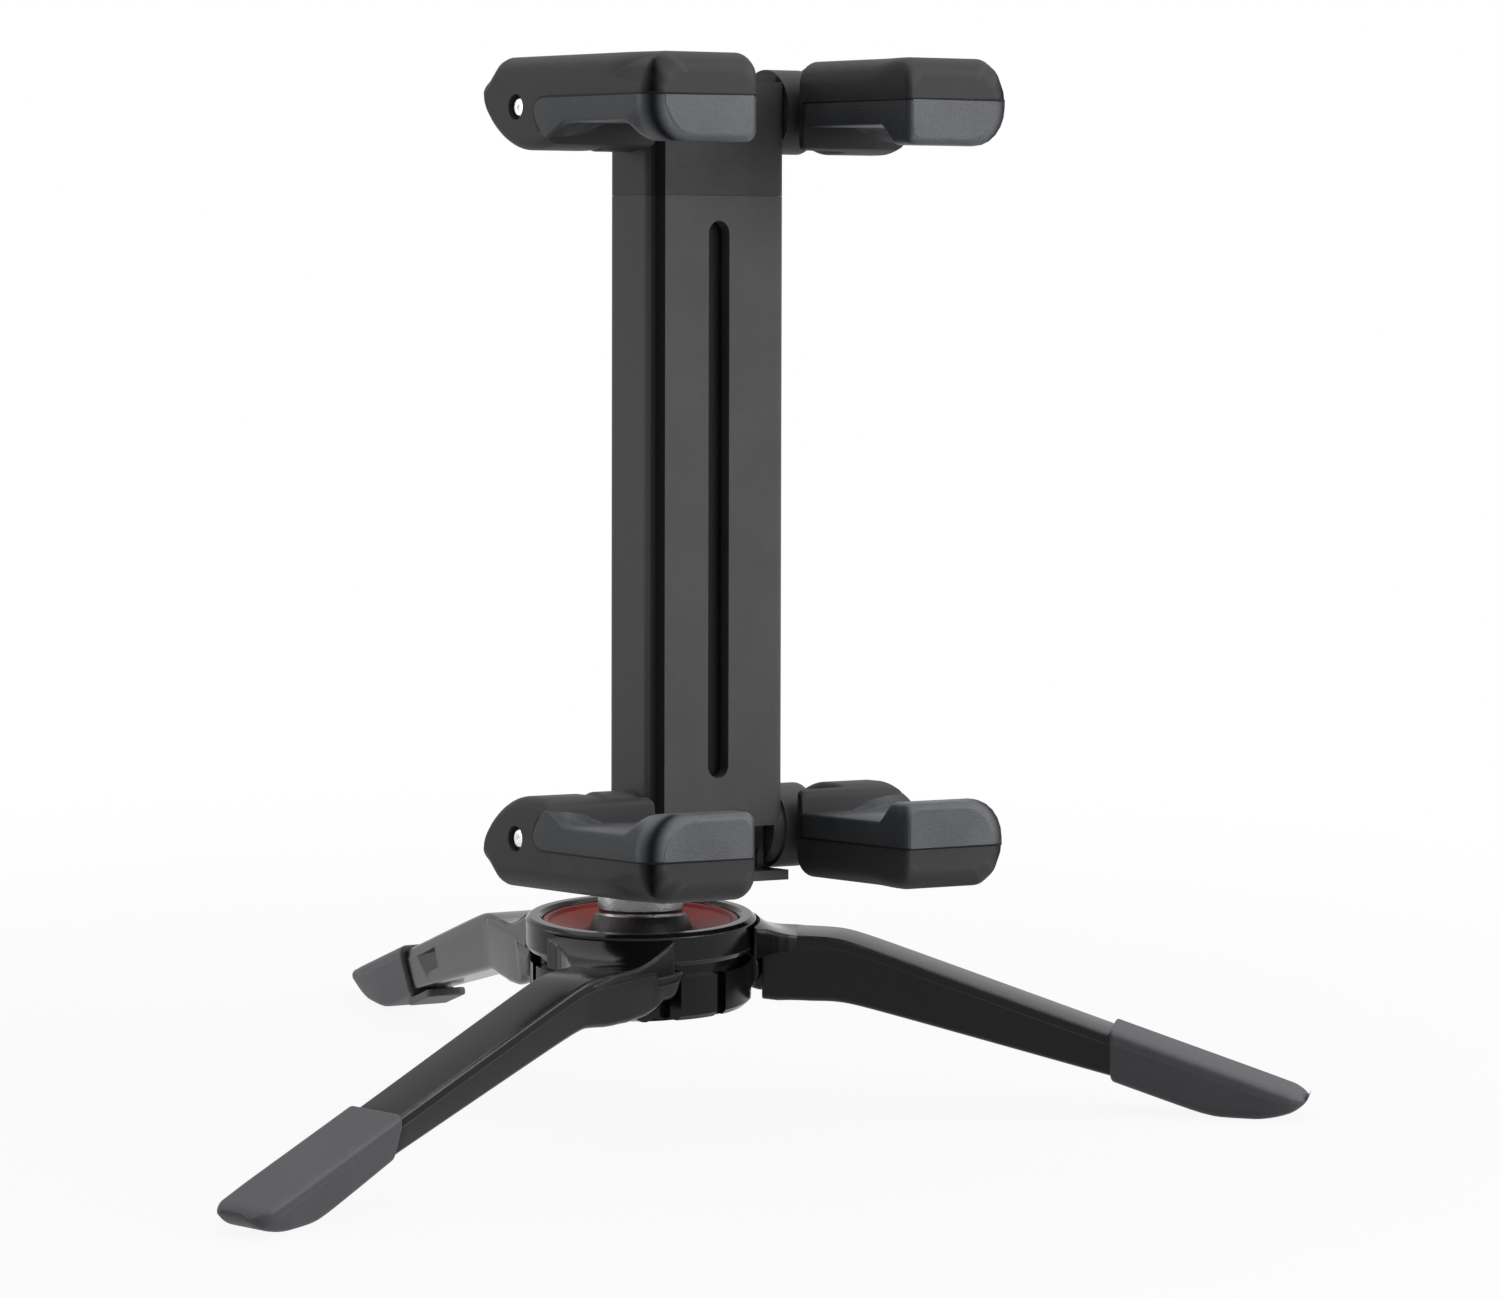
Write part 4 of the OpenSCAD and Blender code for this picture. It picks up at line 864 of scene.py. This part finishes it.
def collar():
    """The satin collar over the ball: a turned profile with a waist below a broad disc and the stud above."""
    return tube(lathe(round_profile([[3.3, 15.9], [3.5, 16.02], [3.36, 16.35], [3.5, 16.62], [3.5, 18.38],
                                     [3.1, 18.4], [3.1, 20.15], [2.7, 20.2]],
                                    [0, 0.05, 0.3, 0.12, 0.1, 0.05, 0.15, 0], 4)))


def slot_shadow_plate():
    """Painted shadow: a dark plate just behind the slot, keeping it dark; a flat rectangle with round corners, 0.12
    thick, inside the column.
    """
    z = stations(round_stations(SLOT_LOW, 1.0, 8), (SLOT_LOW + 1, SLOT_HIGH - 1, 4), round_stations(SLOT_HIGH, -1.0, 8))
    half = 1.7 - round_off(np.minimum(z - SLOT_LOW, SLOT_HIGH - z), 1.0)
    front, back = COL_Y - 1.99, COL_Y - 1.87
    return swept(section((-half, front), (half, front), (half, back), (-half, back)), np.full(4, 0.04), 3, z, 2)


piece("slot_shadow_plate", slot_shadow_plate(), leaned, black_plastic, "column")
piece("rim_band", rim(), here, rim_black, "hub", ["rim_ring"])
piece("insert_dish", insert(), here, dark_red, "hub", ["red_insert"])
piece("ball_dome", ball(), leaned, dome_steel, "ball", ["ball_stud"])
piece("ball_collar", collar(), leaned, satin_steel, "ball")


# ---------------------------------------------------------------- studio

def white_to_view(tree):
    """1 for a ray from the camera, or one mirrored or passed on to it, and 0 for the rays that light the object."""
    path = tree.nodes.new("ShaderNodeLightPath")
    direct = math_node(tree, "MAXIMUM", path.outputs["Is Camera Ray"], path.outputs["Is Transmission Ray"])
    return math_node(tree, "MAXIMUM", direct, path.outputs["Is Glossy Ray"])


def mixed(tree, share, first, second, out):
    """Sends the mix of two shader nodes to the output node."""
    mix = tree.nodes.new("ShaderNodeMixShader")
    for value, socket in zip((share, first.outputs[0], second.outputs[0]), mix.inputs):
        feed(tree, value, socket)
    feed(tree, mix.outputs[0], out.inputs[0])


def pale_floor():
    """A wide floor that reads as white to the camera, but for a faint shadow under the object."""
    bpy.ops.mesh.primitive_plane_add(size=14)
    floor = bpy.context.object
    floor.name = "floor"
    mat = bpy.data.materials.new("floor_white")
    mat.use_nodes = True
    tree = mat.node_tree
    tree.nodes.clear()
    matt, glow = tree.nodes.new("ShaderNodeBsdfDiffuse"), tree.nodes.new("ShaderNodeEmission")
    matt.inputs["Color"].default_value = (0.45, 0.45, 0.45, 1)
    glow.inputs["Color"].default_value = (1, 1, 1, 1)
    away = vector_node(tree, "LENGTH", coordinate(tree))
    plain = range_node(tree, away, (0.05, 0.16), (0.92, 1.0), "SMOOTHSTEP")
    share = math_node(tree, "MULTIPLY", white_to_view(tree), plain)
    mixed(tree, share, matt, glow, tree.nodes.new("ShaderNodeOutputMaterial"))
    floor.data.materials.append(mat)


def pale_world():
    """White to the camera; for the light a pale world that is dark only on the camera's side."""
    world = bpy.data.worlds.new("studio")
    bpy.context.scene.world = world
    world.use_nodes = True
    tree = world.node_tree
    tree.nodes.clear()
    dim, white = tree.nodes.new("ShaderNodeBackground"), tree.nodes.new("ShaderNodeBackground")
    towards = vector_node(tree, "DOT_PRODUCT", coordinate(tree, "Generated"), (-0.58, -0.79, 0.19))
    feed(tree, range_node(tree, towards, (0.55, 0.93), (0.34, 0.12), "SMOOTHSTEP"), dim.inputs["Strength"])
    white.inputs["Strength"].default_value = 1.0
    mixed(tree, white_to_view(tree), dim, white, tree.nodes.new("ShaderNodeOutputWorld"))


def softbox(name, place, target, size, power):
    """An area lamp at a place, facing a target, both in millimetres."""
    lamp = bpy.data.lights.new(name, "AREA")
    lamp.shape, lamp.size, lamp.size_y, lamp.energy = "RECTANGLE", size[0] * MM, size[1] * MM, power
    obj = bpy.data.objects.new(name, lamp)
    bpy.context.scene.collection.objects.link(obj)
    place, target = Vector(place) * MM, Vector(target) * MM
    obj.location = place + Vector(HUB) * MM
    obj.rotation_euler = (target - place).to_track_quat("-Z", "Y").to_euler()


def camera():
    """The photograph's camera: a long lens 558 mm from the hub's foot.

    It looks 8.52 degrees down and is turned 35.03 degrees from +Y towards +X."""
    data = bpy.data.cameras.new("camera")
    data.lens, data.sensor_width = 163.5, 36
    obj = bpy.data.objects.new("camera", data)
    bpy.context.scene.collection.objects.link(obj)
    turn, pitch = math.radians(35.03), math.radians(8.52)
    away = Vector((math.sin(turn) * math.cos(pitch), math.cos(turn) * math.cos(pitch), -math.sin(pitch)))
    obj.location = (Vector((-305.6, -451.45, 119.64)) + Vector(HUB)) * MM
    obj.rotation_euler = away.to_track_quat("-Z", "Y").to_euler()
    data.clip_start, data.clip_end = 0.01, 50
    bpy.context.scene.camera = obj


pale_floor()
pale_world()
softbox("overhead", (20, 20, 440), (0, -8, 40), (620, 520), 1.6)
softbox("left_strip", (-290, 270, 110), (0, -8, 30), (150, 300), 0.45)
softbox("front_key", (300, -400, 260), (0, -8, 45), (440, 440), 3.0)
camera()
bpy.context.scene.view_settings.view_transform = "Standard"
